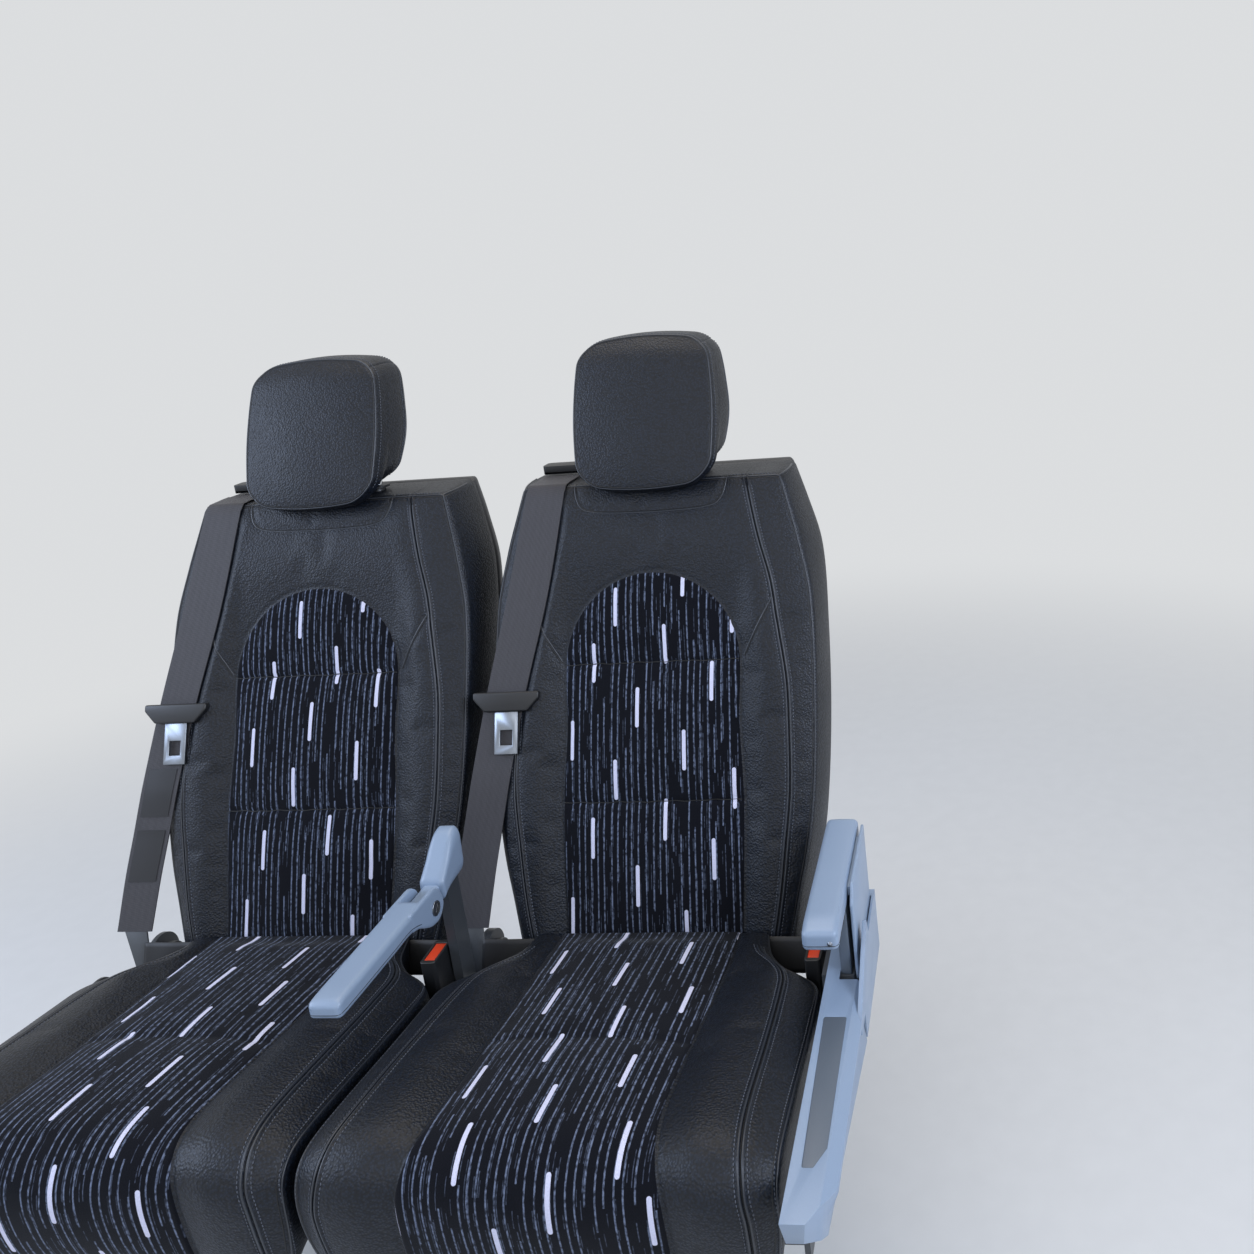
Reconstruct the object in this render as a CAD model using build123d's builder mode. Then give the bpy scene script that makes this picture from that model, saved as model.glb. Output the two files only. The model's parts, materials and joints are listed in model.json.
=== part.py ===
from build123d import *
import os
from math import cos, radians, sin, tan

# Twin reclining coach seat: one window seat and one aisle seat on a shared frame.
# Millimetres. Origin: on the floor, at the centre of the pedestal foot's four bolts.
# X runs towards the aisle, Y towards the rear of the seats, Z up.

os.makedirs("parts", exist_ok=True)

# Places of the two seats
CUSHION_HALF, PLATE_THICK, CENTRE_PLATE_THICK, CENTRE_GAP = 232, 6, 12, 2
SEAT_PITCH = 2 * CUSHION_HALF + CENTRE_PLATE_THICK + 2 * CENTRE_GAP   # between the two seats' centrelines
PAIR_X = -130                         # middle of the pair; the leg stands towards the aisle
SEATS = (("window", PAIR_X - SEAT_PITCH / 2), ("aisle", PAIR_X + SEAT_PITCH / 2))  # name, centre X

# Back: its front face is a plane that leans back from the vertical
BACK_LEAN = 22.2                      # degrees
BACK_Y, BACK_Z = 200, 491             # where that plane's height along the lean counts from 0
BACK_THICK = 90
BACK_LOW, BACK_TOP = -109, 530        # along the lean, at the front face
BACK_LOW_HALF, BACK_WAIST_HALF, BACK_WIDE_HALF, BACK_SHOULDER_HALF, BACK_TOP_HALF = 175, 216, 226, 208, 187
BACK_WAIST_AT, BACK_WIDE_AT, BACK_SHOULDER_AT = 111, 330, 440
BACK_TOP_TAPER, BACK_LOW_CHAMFER = 0.3, 20   # share of the thickness by which the level top narrows
SHELL_THICK, SHELL_INSET, SHELL_LOW = 18, 5, -60
NET_THICK, NET_HEM_R, NET_HALF, NET_LOW, NET_TOP, NET_CORNER_R = 3, 5, 165, 20, 230, 20
RECLINE_AT = (45, -95)                # hinge line: behind the front face, along the lean
HINGE_ROD_R, ROD_CLEAR, ROD_END_GAP = 9, 0.05, 1

# Headrest and the two rods that carry it
HEAD_FRONT, HEAD_DEEP = 30, 105       # ahead of the back's face, whole depth
HEAD_LOW, HEAD_TOP, HEAD_TOP_CHAMFER = 510, 722, 16
HEAD_LOW_HALF, HEAD_WIDE_HALF, HEAD_TOP_HALF, HEAD_WIDE_AT = 92, 102, 94, 600
HEAD_CORNER_R, HEAD_EDGE_R, HEAD_CLEAR, HEAD_TOP_CLEAR = 38, 10, 6, 9
POST_R, POST_X, POST_DEEP, POST_CLEAR = 6, 60, 42, 0.08
POST_LOW, POST_HIGH = 380, 640
GUIDE_R, GUIDE_LOW, GUIDE_FLANGE_R, GUIDE_FLANGE = 11, 360, 17, 3

# Cushion and the pan under it
CUSHION_REAR_IN, CUSHION_BIGHT_IN = 42, 72       # how far in from its side its rear corner and its rear end lie
CUSHION_SIDE_END, CUSHION_CORNER_END = 65, 97     # Y where the side ends, where its rear corner ends
CUSHION_BACK_GAP = 6.5
BIGHT = -60                           # along the lean, where cushion and back meet
CUSHION_UNDER, CUSHION_LIP = 366, 341
CUSHION_CREST = (-195, 485)           # Y, Z of the top before the rounded nose
CUSHION_NOSE_MID, CUSHION_NOSE = (-228, 470), (-240, 441)
CUSHION_FRONT_LOW, CUSHION_LIP_BACK = (-232, 351), -198
PAN_THICK, PAN_IN = 3, 6
PAN_FRONT, PAN_REAR = -195, 150

# Frame under the seats
BEAM_WIDE, BEAM_HIGH, BEAM_WALL = 50, 40, 3
BEAM_Y = 140                          # front and rear beam stand this far from the leg's centre
BEAM_TOP = CUSHION_UNDER - PAN_THICK
PLATE_DROP, PLATE_RISE = 8, 12        # how far a side plate passes the beams below and above
PLATE_GAP = 7                         # between a cushion and the outer side plate
PLATE_REACH, HINGE_BOSS_R, BOSS_TURN = 175, 28, 60
FOOT_X, FOOT_Y, FOOT_THICK, FOOT_CORNER_R = 100, 290, 8, 12
FLOOR_BOLT_X, FLOOR_BOLT_Y, BOLT_HOLE_R = 70, 230, 4.5
LEG_WIDE, LEG_WALL, LEG_NECK_HALF, LEG_FOOT_HALF, LEG_NECK_Z = 44, 4, 58, 118, 185
LEG_LOW_CURVE, LEG_HIGH_CURVE = 0.25, 0.3   # shares of the leg's spread at half of each curve's height
WALL_GAP, WALL_PLATE, WALL_HIGH, WALL_BOLT_Y, WALL_LONG = 34, 6, 90, 240, 300

# Belt: webbing edges on the back's face, seen from the front: along the lean, left edge, right edge
WEBBING_EDGES = (
    (-55, -273, -222), (35, -263, -210), (230, -230, -176), (378, -199, -142), (575, -167, -112),
)
WEBBING_THICK, WEBBING_OFF, WEBBING_TOP_OFF, WEBBING_REACH = 1.6, 0.6, 0.9, 60
TONGUE_AT, TONGUE_X, TONGUE_WIDE, TONGUE_LONG, TONGUE_THICK = 222, -197, 32, 56, 2.5
TONGUE_SLOT_X, TONGUE_SLOT_LONG, TONGUE_SLOT_AT = 17, 20, 34
COVER_TOP_HALF, COVER_LOW_HALF, COVER_HIGH, COVER_SHOULDER, COVER_THICK, COVER_GAP = 30, 46, 26, 17, 13, 0.3
ANCHOR_WIDE, ANCHOR_THICK, ANCHOR_LUG, ANCHOR_LUG_THICK = 40, 3, 16, 9
BELT_GUIDE_AT, BELT_GUIDE_X, BELT_GUIDE_Y, BELT_GUIDE_Z = -142, 64, 26, 12
BELT_GUIDE_R, BELT_GUIDE_LAP = 6, 8    # corner radius, and how far the webbing's end reaches into it
BELT_SLOT_X, BELT_SLOT_Z, BELT_SLOT_LIFT, BELT_SLOT_DEEP = 58, 3, 0.3, 12

# Buckle beside the rear corner of each cushion
BUCKLE_IN, BUCKLE_BACK, BUCKLE_TOP = 11, 43, 457   # in from the cushion's side, behind its end
BUCKLE_WIDE, BUCKLE_LONG, BUCKLE_HIGH, BUCKLE_R = 20, 46, 62, 5
BUTTON_HIGH, BUTTON_RIM, BUTTON_SUNK = 9, 3, 1
STALK_THICK, STALK_LONG = 4, 26

# Centre armrest, which folds up, and the neck that carries it. Profiles count from the pivot (Y, Z).
ARM_PIVOT_Y, ARM_PIVOT_Z = 68, 545
ARM_HALF, ARM_END_R, ARM_EDGE_R = 17.5, 19, 3.5
ARM_PROFILE = ((-40, 5), (-90, 4), (-194, 8), (-200, 14), (-200, 23), (-194, 29), (0, 24), (13, 14))
ARM_SLOT, ARM_PIN_R, ARM_CAP_R, ARM_CAP_THICK = 23, 5, 9, 1.5
NECK_HALF, NECK_EDGE, NECK_TONGUE, NECK_TONGUE_R, NECK_CUT = 16, 1.5, 21, 13.5, 30
NECK_PROFILE = ((30, -9), (30, 17), (74, 58), (96, 58), (90, -2), (44, -2), (36, 9))
NECK_RECESS = ((50, -10), (80, -10), (80, 19), (50, 9))
NECK_STALK = ((0, -9), (30, -9), (30, 16), (0, 12))
COLUMN_TOP, COLUMN_WIDE = (9, 19), 30  # heights of the column's front and rear, and how deep it is
COLUMN_BACK = 80                      # the column's rear lies this far behind the pivot

# Aisle armrest, which slides down into the side fairing. X counts from the side plate's outer face.
REST_IN, REST_WIDE, REST_FRONT, REST_LONG, REST_TOP, REST_THICK = -11, 40, -22, 225, 575, 27
REST_END_R, REST_EDGE_R = 8, 5
POST_IN, REST_POST_THICK, REST_POST_FRONT, REST_POST_LONG = 16, 12, 48, 142
GUARD_GAP, GUARD_THICK, GUARD_DROP, GUARD_SLOPE = 5, 3.5, 3, 18   # drop: below the pad's top
REST_POST_DEEP, REST_GUIDE_DEEP, REST_GUIDE_WALL, REST_CLEAR = 25, 86, 3, 0.5

# Fairing on the aisle side: a tray in front of the post and a box round it
FAIR_DECK, FAIR_WALL, FAIR_EDGE, FAIR_WIDE, FAIR_TUCK = 471, 3, 36, 46, 33
FAIR_BEVEL, FAIR_RIM, FAIR_DEEP, FAIR_NOSE_DEEP = 10, 16, 75, 38
FAIR_FRONT, FAIR_STEP, FAIR_REAR, FAIR_NOSE_X, FAIR_NOSE_LONG = -278, 40, 205, 26, 52
FAIR_REAR_DEEP, SLOT_FRONT, SLOT_GAP = 110, 34, 1.5
FIN_FRONT, FIN_TIP, FIN_RISE, FIN_END, FIN_THICK, FIN_DEEP = -25, 78, 44, 95, 5, 24
INSET_DEEP, INSET_CORNER_R = 2, 2.5
INSET_OUTLINE = ((6, -26), (31, -26), (32, -198), (22, -220), (11, -220))   # X from the side plate, Y

# Cover on the window side
SIDE_COVER_THICK, SIDE_COVER_RISE = 6, 50
SIDE_COVER_FRONT, SIDE_COVER_REAR, SIDE_COVER_R = -200, 120, 22

LEAN_SIN, LEAN_COS, LEAN_TAN = sin(radians(BACK_LEAN)), cos(radians(BACK_LEAN)), tan(radians(BACK_LEAN))


def back_point(behind, along):
    """Y and Z of a point that lies this far behind the back's face and this far along its lean."""
    return (BACK_Y + behind * LEAN_COS + along * LEAN_SIN, BACK_Z - behind * LEAN_SIN + along * LEAN_COS)


def face_plane(x, behind=0.0):
    """Plane parallel to the back's face, seen from the front: local X is X, local Y runs up the lean."""
    y, z = back_point(behind, 0)
    return Plane(origin=(x, y, z), x_dir=(1, 0, 0), z_dir=(0, -LEAN_COS, LEAN_SIN))


def lean_section(x):
    """Plane across the back: local X runs behind its face, local Y up the lean, normal along X."""
    return Plane(origin=(x, BACK_Y, BACK_Z), x_dir=(0, LEAN_COS, -LEAN_SIN), z_dir=(1, 0, 0))


def write(piece, label):
    """Label a finished piece and write its file."""
    piece.label = label
    export_step(piece, f"parts/{label}.step")


def top_height(along):
    """Height of the level top surface that starts this far along the back's face."""
    return back_point(0, along)[1]


HINGE_Y, HINGE_Z = back_point(*RECLINE_AT)
PAIR_END = SEAT_PITCH / 2 + CUSHION_HALF          # outer sides of the two cushions
OUTER_PLATE_X = PAIR_END + PLATE_GAP              # inner face of an outer side plate
BEAM_END = OUTER_PLATE_X
BEAM_LOW = BEAM_TOP - BEAM_HIGH
PLATE_LOW, PLATE_HIGH = BEAM_LOW - PLATE_DROP, BEAM_TOP + PLATE_RISE
WINDOW_SIDE = PAIR_X - OUTER_PLATE_X - PLATE_THICK  # outer faces of the two outer side plates
AISLE_SIDE = PAIR_X + OUTER_PLATE_X + PLATE_THICK
COLUMN_REAR = ARM_PIVOT_Y + COLUMN_BACK
GUIDE_TOP = FAIR_DECK - FAIR_WALL


def back_outline(inset=0.0):
    """Outline of the back from the front, up past its level top."""
    low_half, waist, wide = BACK_LOW_HALF - inset, BACK_WAIST_HALF - inset, BACK_WIDE_HALF - inset
    shoulder, top_half = BACK_SHOULDER_HALF - inset, BACK_TOP_HALF - inset
    high, high_half = BACK_TOP + BACK_THICK, top_half - BACK_THICK * BACK_TOP_TAPER
    with BuildSketch() as outline:
        with BuildLine():
            Line((0, BACK_LOW), (low_half, BACK_LOW))
            ThreePointArc((low_half, BACK_LOW), (waist, BACK_WAIST_AT), (wide, BACK_WIDE_AT))
            ThreePointArc((wide, BACK_WIDE_AT), (shoulder, BACK_SHOULDER_AT), (top_half, BACK_TOP))
            Line((top_half, BACK_TOP), (high_half, high))
            Line((high_half, high), (0, high))
            mirror(about=Plane.YZ)
        make_face()
    return outline.sketch


# Beams
for name, beam_y in (("front", -BEAM_Y), ("rear", BEAM_Y)):
    with BuildPart() as beam:
        with BuildSketch(Plane.YZ.offset(PAIR_X - BEAM_END)):
            with Locations((beam_y, BEAM_TOP - BEAM_HIGH / 2)):
                Rectangle(BEAM_WIDE, BEAM_HIGH)
                Rectangle(BEAM_WIDE - 2 * BEAM_WALL, BEAM_HIGH - 2 * BEAM_WALL, mode=Mode.SUBTRACT)
        extrude(amount=2 * BEAM_END)
    write(beam.part, f"{name}_beam")


def plate_outline():
    """Outline of a side plate from the side: a strip over both beams that rises to the hinge boss."""
    boss_y, boss_z = HINGE_BOSS_R * cos(radians(BOSS_TURN)), HINGE_BOSS_R * sin(radians(BOSS_TURN))
    with BuildSketch() as outline:
        with BuildLine():
            Polyline(
                (-PLATE_REACH, PLATE_LOW),
                (PLATE_REACH, PLATE_LOW),
                (HINGE_Y + boss_y, HINGE_Z - boss_z),
                (HINGE_Y - boss_y, HINGE_Z + boss_z),
                (BEAM_Y + BEAM_WIDE / 2, PLATE_HIGH),
                (-PLATE_REACH, PLATE_HIGH),
                close=True,
            )
        make_face()
        with Locations((HINGE_Y, HINGE_Z)):
            Circle(HINGE_BOSS_R)
            Circle(HINGE_ROD_R + ROD_CLEAR, mode=Mode.SUBTRACT)
    return outline.sketch


# Side plate at the window, which closes the beams' ends
with BuildPart() as side_plate_window:
    with BuildSketch(Plane.YZ.offset(PAIR_X - OUTER_PLATE_X)):
        add(plate_outline())
    extrude(amount=-PLATE_THICK)
write(side_plate_window.part, "side_plate_window")

# Side plate at the aisle, with an ear that the armrest's guide is fixed to
with BuildPart() as side_plate_aisle:
    with BuildSketch(Plane.YZ.offset(PAIR_X + OUTER_PLATE_X)):
        add(plate_outline())
        with BuildLine():
            Polyline(
                (REST_POST_FRONT - REST_GUIDE_WALL, PLATE_HIGH),
                (REST_POST_FRONT - REST_GUIDE_WALL, GUIDE_TOP),
                (REST_POST_FRONT + REST_POST_LONG, GUIDE_TOP),
                (HINGE_Y - HINGE_BOSS_R, HINGE_Z),
                (BEAM_Y, PLATE_HIGH),
                close=True,
            )
        make_face()
    extrude(amount=PLATE_THICK)
write(side_plate_aisle.part, "side_plate_aisle")

# Centre plate: both beams pass through it, and its column carries the armrest's neck
with BuildPart() as side_plate_centre:
    with BuildSketch(Plane.YZ.offset(PAIR_X - CENTRE_PLATE_THICK / 2)):
        add(plate_outline())
        with BuildLine():
            Polyline(
                (COLUMN_REAR - COLUMN_WIDE, PLATE_LOW),
                (COLUMN_REAR, PLATE_LOW),
                (COLUMN_REAR, ARM_PIVOT_Z + COLUMN_TOP[1]),
                (COLUMN_REAR - COLUMN_WIDE, ARM_PIVOT_Z + COLUMN_TOP[0]),
                close=True,
            )
        make_face()
        for beam_y in (-BEAM_Y, BEAM_Y):
            with Locations((beam_y, BEAM_TOP - BEAM_HIGH / 2)):
                Rectangle(BEAM_WIDE, BEAM_HIGH, mode=Mode.SUBTRACT)
    extrude(amount=CENTRE_PLATE_THICK)
write(side_plate_centre.part, "side_plate_centre")

# Pedestal leg: a pressed leg with a web and a flange round its edge
with BuildPart() as pedestal_leg:
    with BuildSketch(Plane.YZ.offset(-LEG_WIDE / 2)) as leg_side:
        with BuildLine():
            half_top = BEAM_Y + BEAM_WIDE / 2
            Line((0, FOOT_THICK), (LEG_FOOT_HALF, FOOT_THICK))
            ThreePointArc(
                (LEG_FOOT_HALF, FOOT_THICK),
                (LEG_NECK_HALF + (LEG_FOOT_HALF - LEG_NECK_HALF) * LEG_LOW_CURVE, LEG_NECK_Z / 2),
                (LEG_NECK_HALF, LEG_NECK_Z),
            )
            ThreePointArc(
                (LEG_NECK_HALF, LEG_NECK_Z),
                (LEG_NECK_HALF + (half_top - LEG_NECK_HALF) * LEG_HIGH_CURVE, (LEG_NECK_Z + BEAM_LOW) / 2),
                (half_top, BEAM_LOW - BEAM_WIDE / 2),
            )
            Line((half_top, BEAM_LOW - BEAM_WIDE / 2), (half_top, BEAM_LOW))
            Line((half_top, BEAM_LOW), (0, BEAM_LOW))
            mirror(about=Plane.YZ)
        make_face()
    extrude(amount=LEG_WIDE)
    with BuildSketch(Plane.YZ.offset(-LEG_WIDE / 2)) as leg_pocket:
        add(leg_side.sketch_local)
        offset(amount=-LEG_WALL, kind=Kind.INTERSECTION)
    extrude(amount=(LEG_WIDE - LEG_WALL) / 2, mode=Mode.SUBTRACT)
    with BuildSketch(Plane.YZ.offset(LEG_WIDE / 2)):
        add(leg_pocket.sketch_local)
    extrude(amount=-(LEG_WIDE - LEG_WALL) / 2, mode=Mode.SUBTRACT)
write(pedestal_leg.part, "pedestal_leg")

# Foot plate with the four floor bolts
with BuildPart() as pedestal_foot:
    with BuildSketch():
        RectangleRounded(FOOT_X, FOOT_Y, FOOT_CORNER_R)
    extrude(amount=FOOT_THICK)
    with GridLocations(FLOOR_BOLT_X, FLOOR_BOLT_Y, 2, 2):
        Hole(BOLT_HOLE_R)
write(pedestal_foot.part, "pedestal_foot")

# Bracket that bolts to the wall beside the window
with BuildPart() as wall_bracket:
    wall_x = WINDOW_SIDE - WALL_GAP
    with BuildSketch(Plane.XZ.offset(-WALL_LONG / 2)):
        with BuildLine():
            Polyline(
                (wall_x, PLATE_LOW + WALL_PLATE),
                (wall_x, PLATE_LOW + WALL_PLATE - WALL_HIGH),
                (wall_x + WALL_PLATE, PLATE_LOW + WALL_PLATE - WALL_HIGH),
                (wall_x + WALL_PLATE, PLATE_LOW),
                (WINDOW_SIDE, PLATE_LOW),
                (WINDOW_SIDE, PLATE_LOW + WALL_PLATE),
                close=True,
            )
        make_face()
    extrude(amount=WALL_LONG)
    with BuildSketch(Plane.YZ.offset(wall_x)):
        with Locations((0, PLATE_LOW + WALL_PLATE - WALL_HIGH / 2)):
            with GridLocations(WALL_BOLT_Y, 1, 2, 1):
                Circle(BOLT_HOLE_R)
    extrude(amount=WALL_PLATE, mode=Mode.SUBTRACT)
write(wall_bracket.part, "wall_bracket")

# Cover on the outer side of the window seat
with BuildPart() as side_cover_window:
    with BuildSketch(Plane.YZ.offset(PAIR_X - OUTER_PLATE_X)):
        with Locations(((SIDE_COVER_FRONT + SIDE_COVER_REAR) / 2, PLATE_HIGH + SIDE_COVER_RISE / 2)):
            RectangleRounded(SIDE_COVER_REAR - SIDE_COVER_FRONT, SIDE_COVER_RISE, SIDE_COVER_R)
    extrude(amount=-SIDE_COVER_THICK)
write(side_cover_window.part, "side_cover_window")

for side, seat_x in SEATS:
    # Pan under the cushion
    with BuildPart() as cushion_pan:
        with BuildSketch(Plane.XY.offset(BEAM_TOP)):
            with Locations((seat_x, (PAN_FRONT + PAN_REAR) / 2)):
                Rectangle(2 * (CUSHION_HALF - PAN_IN), PAN_REAR - PAN_FRONT)
        extrude(amount=PAN_THICK)
    write(cushion_pan.part, f"cushion_pan_{side}")

    # Cushion: a side profile cut to the outline that is seen from above
    with BuildPart() as cushion:
        bight_y, bight_z = back_point(-CUSHION_BACK_GAP, BIGHT)
        rear_half, bight_half = CUSHION_HALF - CUSHION_REAR_IN, CUSHION_HALF - CUSHION_BIGHT_IN
        with BuildSketch(Plane.YZ.offset(seat_x - CUSHION_HALF)):
            with BuildLine():
                Line((bight_y, bight_z), CUSHION_CREST)
                ThreePointArc(CUSHION_CREST, CUSHION_NOSE_MID, CUSHION_NOSE)
                Line(CUSHION_NOSE, CUSHION_FRONT_LOW)
                Line(CUSHION_FRONT_LOW, (CUSHION_LIP_BACK, CUSHION_LIP))
                Line((CUSHION_LIP_BACK, CUSHION_LIP), (CUSHION_LIP_BACK, CUSHION_UNDER))
                under_y = bight_y - (bight_z - CUSHION_UNDER) * LEAN_TAN
                Line((CUSHION_LIP_BACK, CUSHION_UNDER), (under_y, CUSHION_UNDER))
                Line((under_y, CUSHION_UNDER), (bight_y, bight_z))
            make_face()
        extrude(amount=2 * CUSHION_HALF)
        with BuildSketch(Plane.XY.offset(CUSHION_LIP)):
            with BuildLine():
                Polyline(
                    (seat_x, CUSHION_NOSE[0]),
                    (seat_x + CUSHION_HALF, CUSHION_NOSE[0]),
                    (seat_x + CUSHION_HALF, CUSHION_SIDE_END),
                    (seat_x + rear_half, CUSHION_CORNER_END),
                    (seat_x + bight_half, BACK_Y),
                    (seat_x - bight_half, BACK_Y),
                    (seat_x - rear_half, CUSHION_CORNER_END),
                    (seat_x - CUSHION_HALF, CUSHION_SIDE_END),
                    (seat_x - CUSHION_HALF, CUSHION_NOSE[0]),
                    close=True,
                )
            make_face()
        extrude(amount=BACK_Z - CUSHION_LIP, mode=Mode.INTERSECT)
    write(cushion.part, f"cushion_{side}")

    # Back cushion, bored for the hinge rod and for the headrest's guides
    with BuildPart() as back_pad:
        with BuildSketch(face_plane(seat_x)):
            add(back_outline())
        extrude(amount=-BACK_THICK)
        split(bisect_by=Plane.XY.offset(top_height(BACK_TOP)), keep=Keep.BOTTOM)
        with BuildSketch(lean_section(seat_x - BACK_WIDE_HALF)):
            with BuildLine():
                Polyline(
                    (0, BACK_LOW),
                    (BACK_LOW_CHAMFER, BACK_LOW),
                    (0, BACK_LOW + BACK_LOW_CHAMFER),
                    close=True,
                )
            make_face()
            with Locations(RECLINE_AT):
                Circle(HINGE_ROD_R)
        extrude(amount=2 * BACK_WIDE_HALF, mode=Mode.SUBTRACT)
        with BuildSketch(Plane(lean_section(seat_x).origin, x_dir=(1, 0, 0), z_dir=(0, LEAN_SIN, LEAN_COS))):
            with Locations((-POST_X, POST_DEEP), (POST_X, POST_DEEP)):
                Circle(GUIDE_R)
        extrude(amount=BACK_TOP + BACK_THICK, mode=Mode.SUBTRACT)
    write(back_pad.part, f"back_pad_{side}")

    # Moulded shell behind the back cushion
    with BuildPart() as back_shell:
        with BuildSketch(face_plane(seat_x, BACK_THICK)):
            add(back_outline(SHELL_INSET))
            with Locations((0, BACK_LOW)):
                Rectangle(2 * BACK_WIDE_HALF, 2 * (SHELL_LOW - BACK_LOW), mode=Mode.SUBTRACT)
        extrude(amount=-SHELL_THICK)
        split(bisect_by=Plane.XY.offset(top_height(BACK_TOP)), keep=Keep.BOTTOM)
    write(back_shell.part, f"back_shell_{side}")

    # Magazine net that lies flat on the shell, with a rolled hem along its top
    with BuildPart() as magazine_net:
        with BuildSketch(face_plane(seat_x, BACK_THICK + SHELL_THICK)):
            with Locations((0, (NET_LOW + NET_TOP) / 2)):
                RectangleRounded(2 * NET_HALF, NET_TOP - NET_LOW, NET_CORNER_R)
        extrude(amount=-NET_THICK)
        with BuildSketch(lean_section(seat_x - NET_HALF + NET_CORNER_R)):
            with Locations((BACK_THICK + SHELL_THICK + NET_HEM_R, NET_TOP - NET_HEM_R)):
                Circle(NET_HEM_R)
        extrude(amount=2 * (NET_HALF - NET_CORNER_R))
    write(magazine_net.part, f"magazine_net_{side}")

    # Hinge rod through the back's lower edge, carried by two of the three plates
    rod_low = WINDOW_SIDE if side == "window" else PAIR_X + ROD_END_GAP / 2
    with BuildPart() as hinge_rod:
        with BuildSketch(Plane.YZ.offset(rod_low)):
            with Locations((HINGE_Y, HINGE_Z)):
                Circle(HINGE_ROD_R)
        extrude(amount=AISLE_SIDE - PAIR_X - ROD_END_GAP / 2)
    write(hinge_rod.part, f"hinge_rod_{side}")

    # Guides for the headrest's posts, with a flange on the back's level top
    with BuildPart() as headrest_guides:
        lean_up = Plane(lean_section(seat_x).origin, x_dir=(1, 0, 0), z_dir=(0, LEAN_SIN, LEAN_COS))
        with BuildSketch(lean_up.offset(GUIDE_LOW)):
            with Locations((-POST_X, POST_DEEP), (POST_X, POST_DEEP)):
                Circle(GUIDE_R)
        extrude(amount=BACK_TOP + BACK_THICK - GUIDE_LOW)
        split(bisect_by=Plane.XY.offset(top_height(BACK_TOP)), keep=Keep.BOTTOM)
        with BuildSketch(Plane.XY.offset(top_height(BACK_TOP))):
            flange_y = BACK_Y + POST_DEEP / LEAN_COS + (top_height(BACK_TOP) - BACK_Z) * LEAN_TAN
            with Locations((seat_x - POST_X, flange_y), (seat_x + POST_X, flange_y)):
                Circle(GUIDE_FLANGE_R)
        extrude(amount=GUIDE_FLANGE)
        with BuildSketch(lean_up.offset(GUIDE_LOW)):
            with Locations((-POST_X, POST_DEEP), (POST_X, POST_DEEP)):
                Circle(POST_R + POST_CLEAR)
        extrude(amount=BACK_TOP + BACK_THICK - GUIDE_LOW, mode=Mode.SUBTRACT)
    write(headrest_guides.part, f"headrest_guides_{side}")

    # Headrest posts
    with BuildPart() as headrest_posts:
        with BuildSketch(lean_up.offset(POST_LOW)):
            with Locations((-POST_X, POST_DEEP), (POST_X, POST_DEEP)):
                Circle(POST_R)
        extrude(amount=POST_HIGH - POST_LOW)
    write(headrest_posts.part, f"headrest_posts_{side}")

    # Headrest: a side profile with a step over the back's top edge, cut to the outline from the front
    with BuildPart() as headrest:
        rear = HEAD_DEEP - HEAD_FRONT
        with BuildSketch(lean_section(seat_x - HEAD_WIDE_HALF)):
            with BuildLine():
                Polyline(
                    (-HEAD_FRONT, HEAD_LOW + HEAD_EDGE_R),
                    (-HEAD_FRONT + HEAD_EDGE_R, HEAD_LOW),
                    (-HEAD_CLEAR, HEAD_LOW),
                    (-HEAD_CLEAR, BACK_TOP + HEAD_CLEAR),
                    (rear, BACK_TOP + HEAD_TOP_CLEAR + rear * LEAN_TAN),
                    (rear, HEAD_TOP + rear * LEAN_TAN - HEAD_TOP_CHAMFER),
                    (rear - HEAD_TOP_CHAMFER, HEAD_TOP + (rear - HEAD_TOP_CHAMFER) * LEAN_TAN),
                    (-HEAD_FRONT + HEAD_TOP_CHAMFER, HEAD_TOP - (HEAD_FRONT - HEAD_TOP_CHAMFER) * LEAN_TAN),
                    (-HEAD_FRONT, HEAD_TOP - HEAD_FRONT * LEAN_TAN - HEAD_TOP_CHAMFER),
                    close=True,
                )
            make_face()
        extrude(amount=2 * HEAD_WIDE_HALF)
        with BuildSketch(face_plane(seat_x, -HEAD_FRONT)):
            with BuildLine():
                head_high = HEAD_TOP + rear * LEAN_TAN
                Line((0, HEAD_LOW), (HEAD_LOW_HALF - HEAD_EDGE_R, HEAD_LOW))
                Line((HEAD_LOW_HALF - HEAD_EDGE_R, HEAD_LOW), (HEAD_LOW_HALF, HEAD_LOW + HEAD_EDGE_R))
                Line((HEAD_LOW_HALF, HEAD_LOW + HEAD_EDGE_R), (HEAD_WIDE_HALF, HEAD_WIDE_AT))
                Line((HEAD_WIDE_HALF, HEAD_WIDE_AT), (HEAD_TOP_HALF, HEAD_TOP - HEAD_CORNER_R))
                Line((HEAD_TOP_HALF, HEAD_TOP - HEAD_CORNER_R), (HEAD_TOP_HALF - HEAD_CORNER_R, head_high))
                Line((HEAD_TOP_HALF - HEAD_CORNER_R, head_high), (0, head_high))
                mirror(about=Plane.YZ)
            make_face()
        extrude(amount=-HEAD_DEEP, mode=Mode.INTERSECT)
        with BuildSketch(lean_up):
            with Locations((-POST_X, POST_DEEP), (POST_X, POST_DEEP)):
                Circle(POST_R)
        extrude(amount=POST_HIGH, mode=Mode.SUBTRACT)
    write(headrest.part, f"headrest_{side}")

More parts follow.
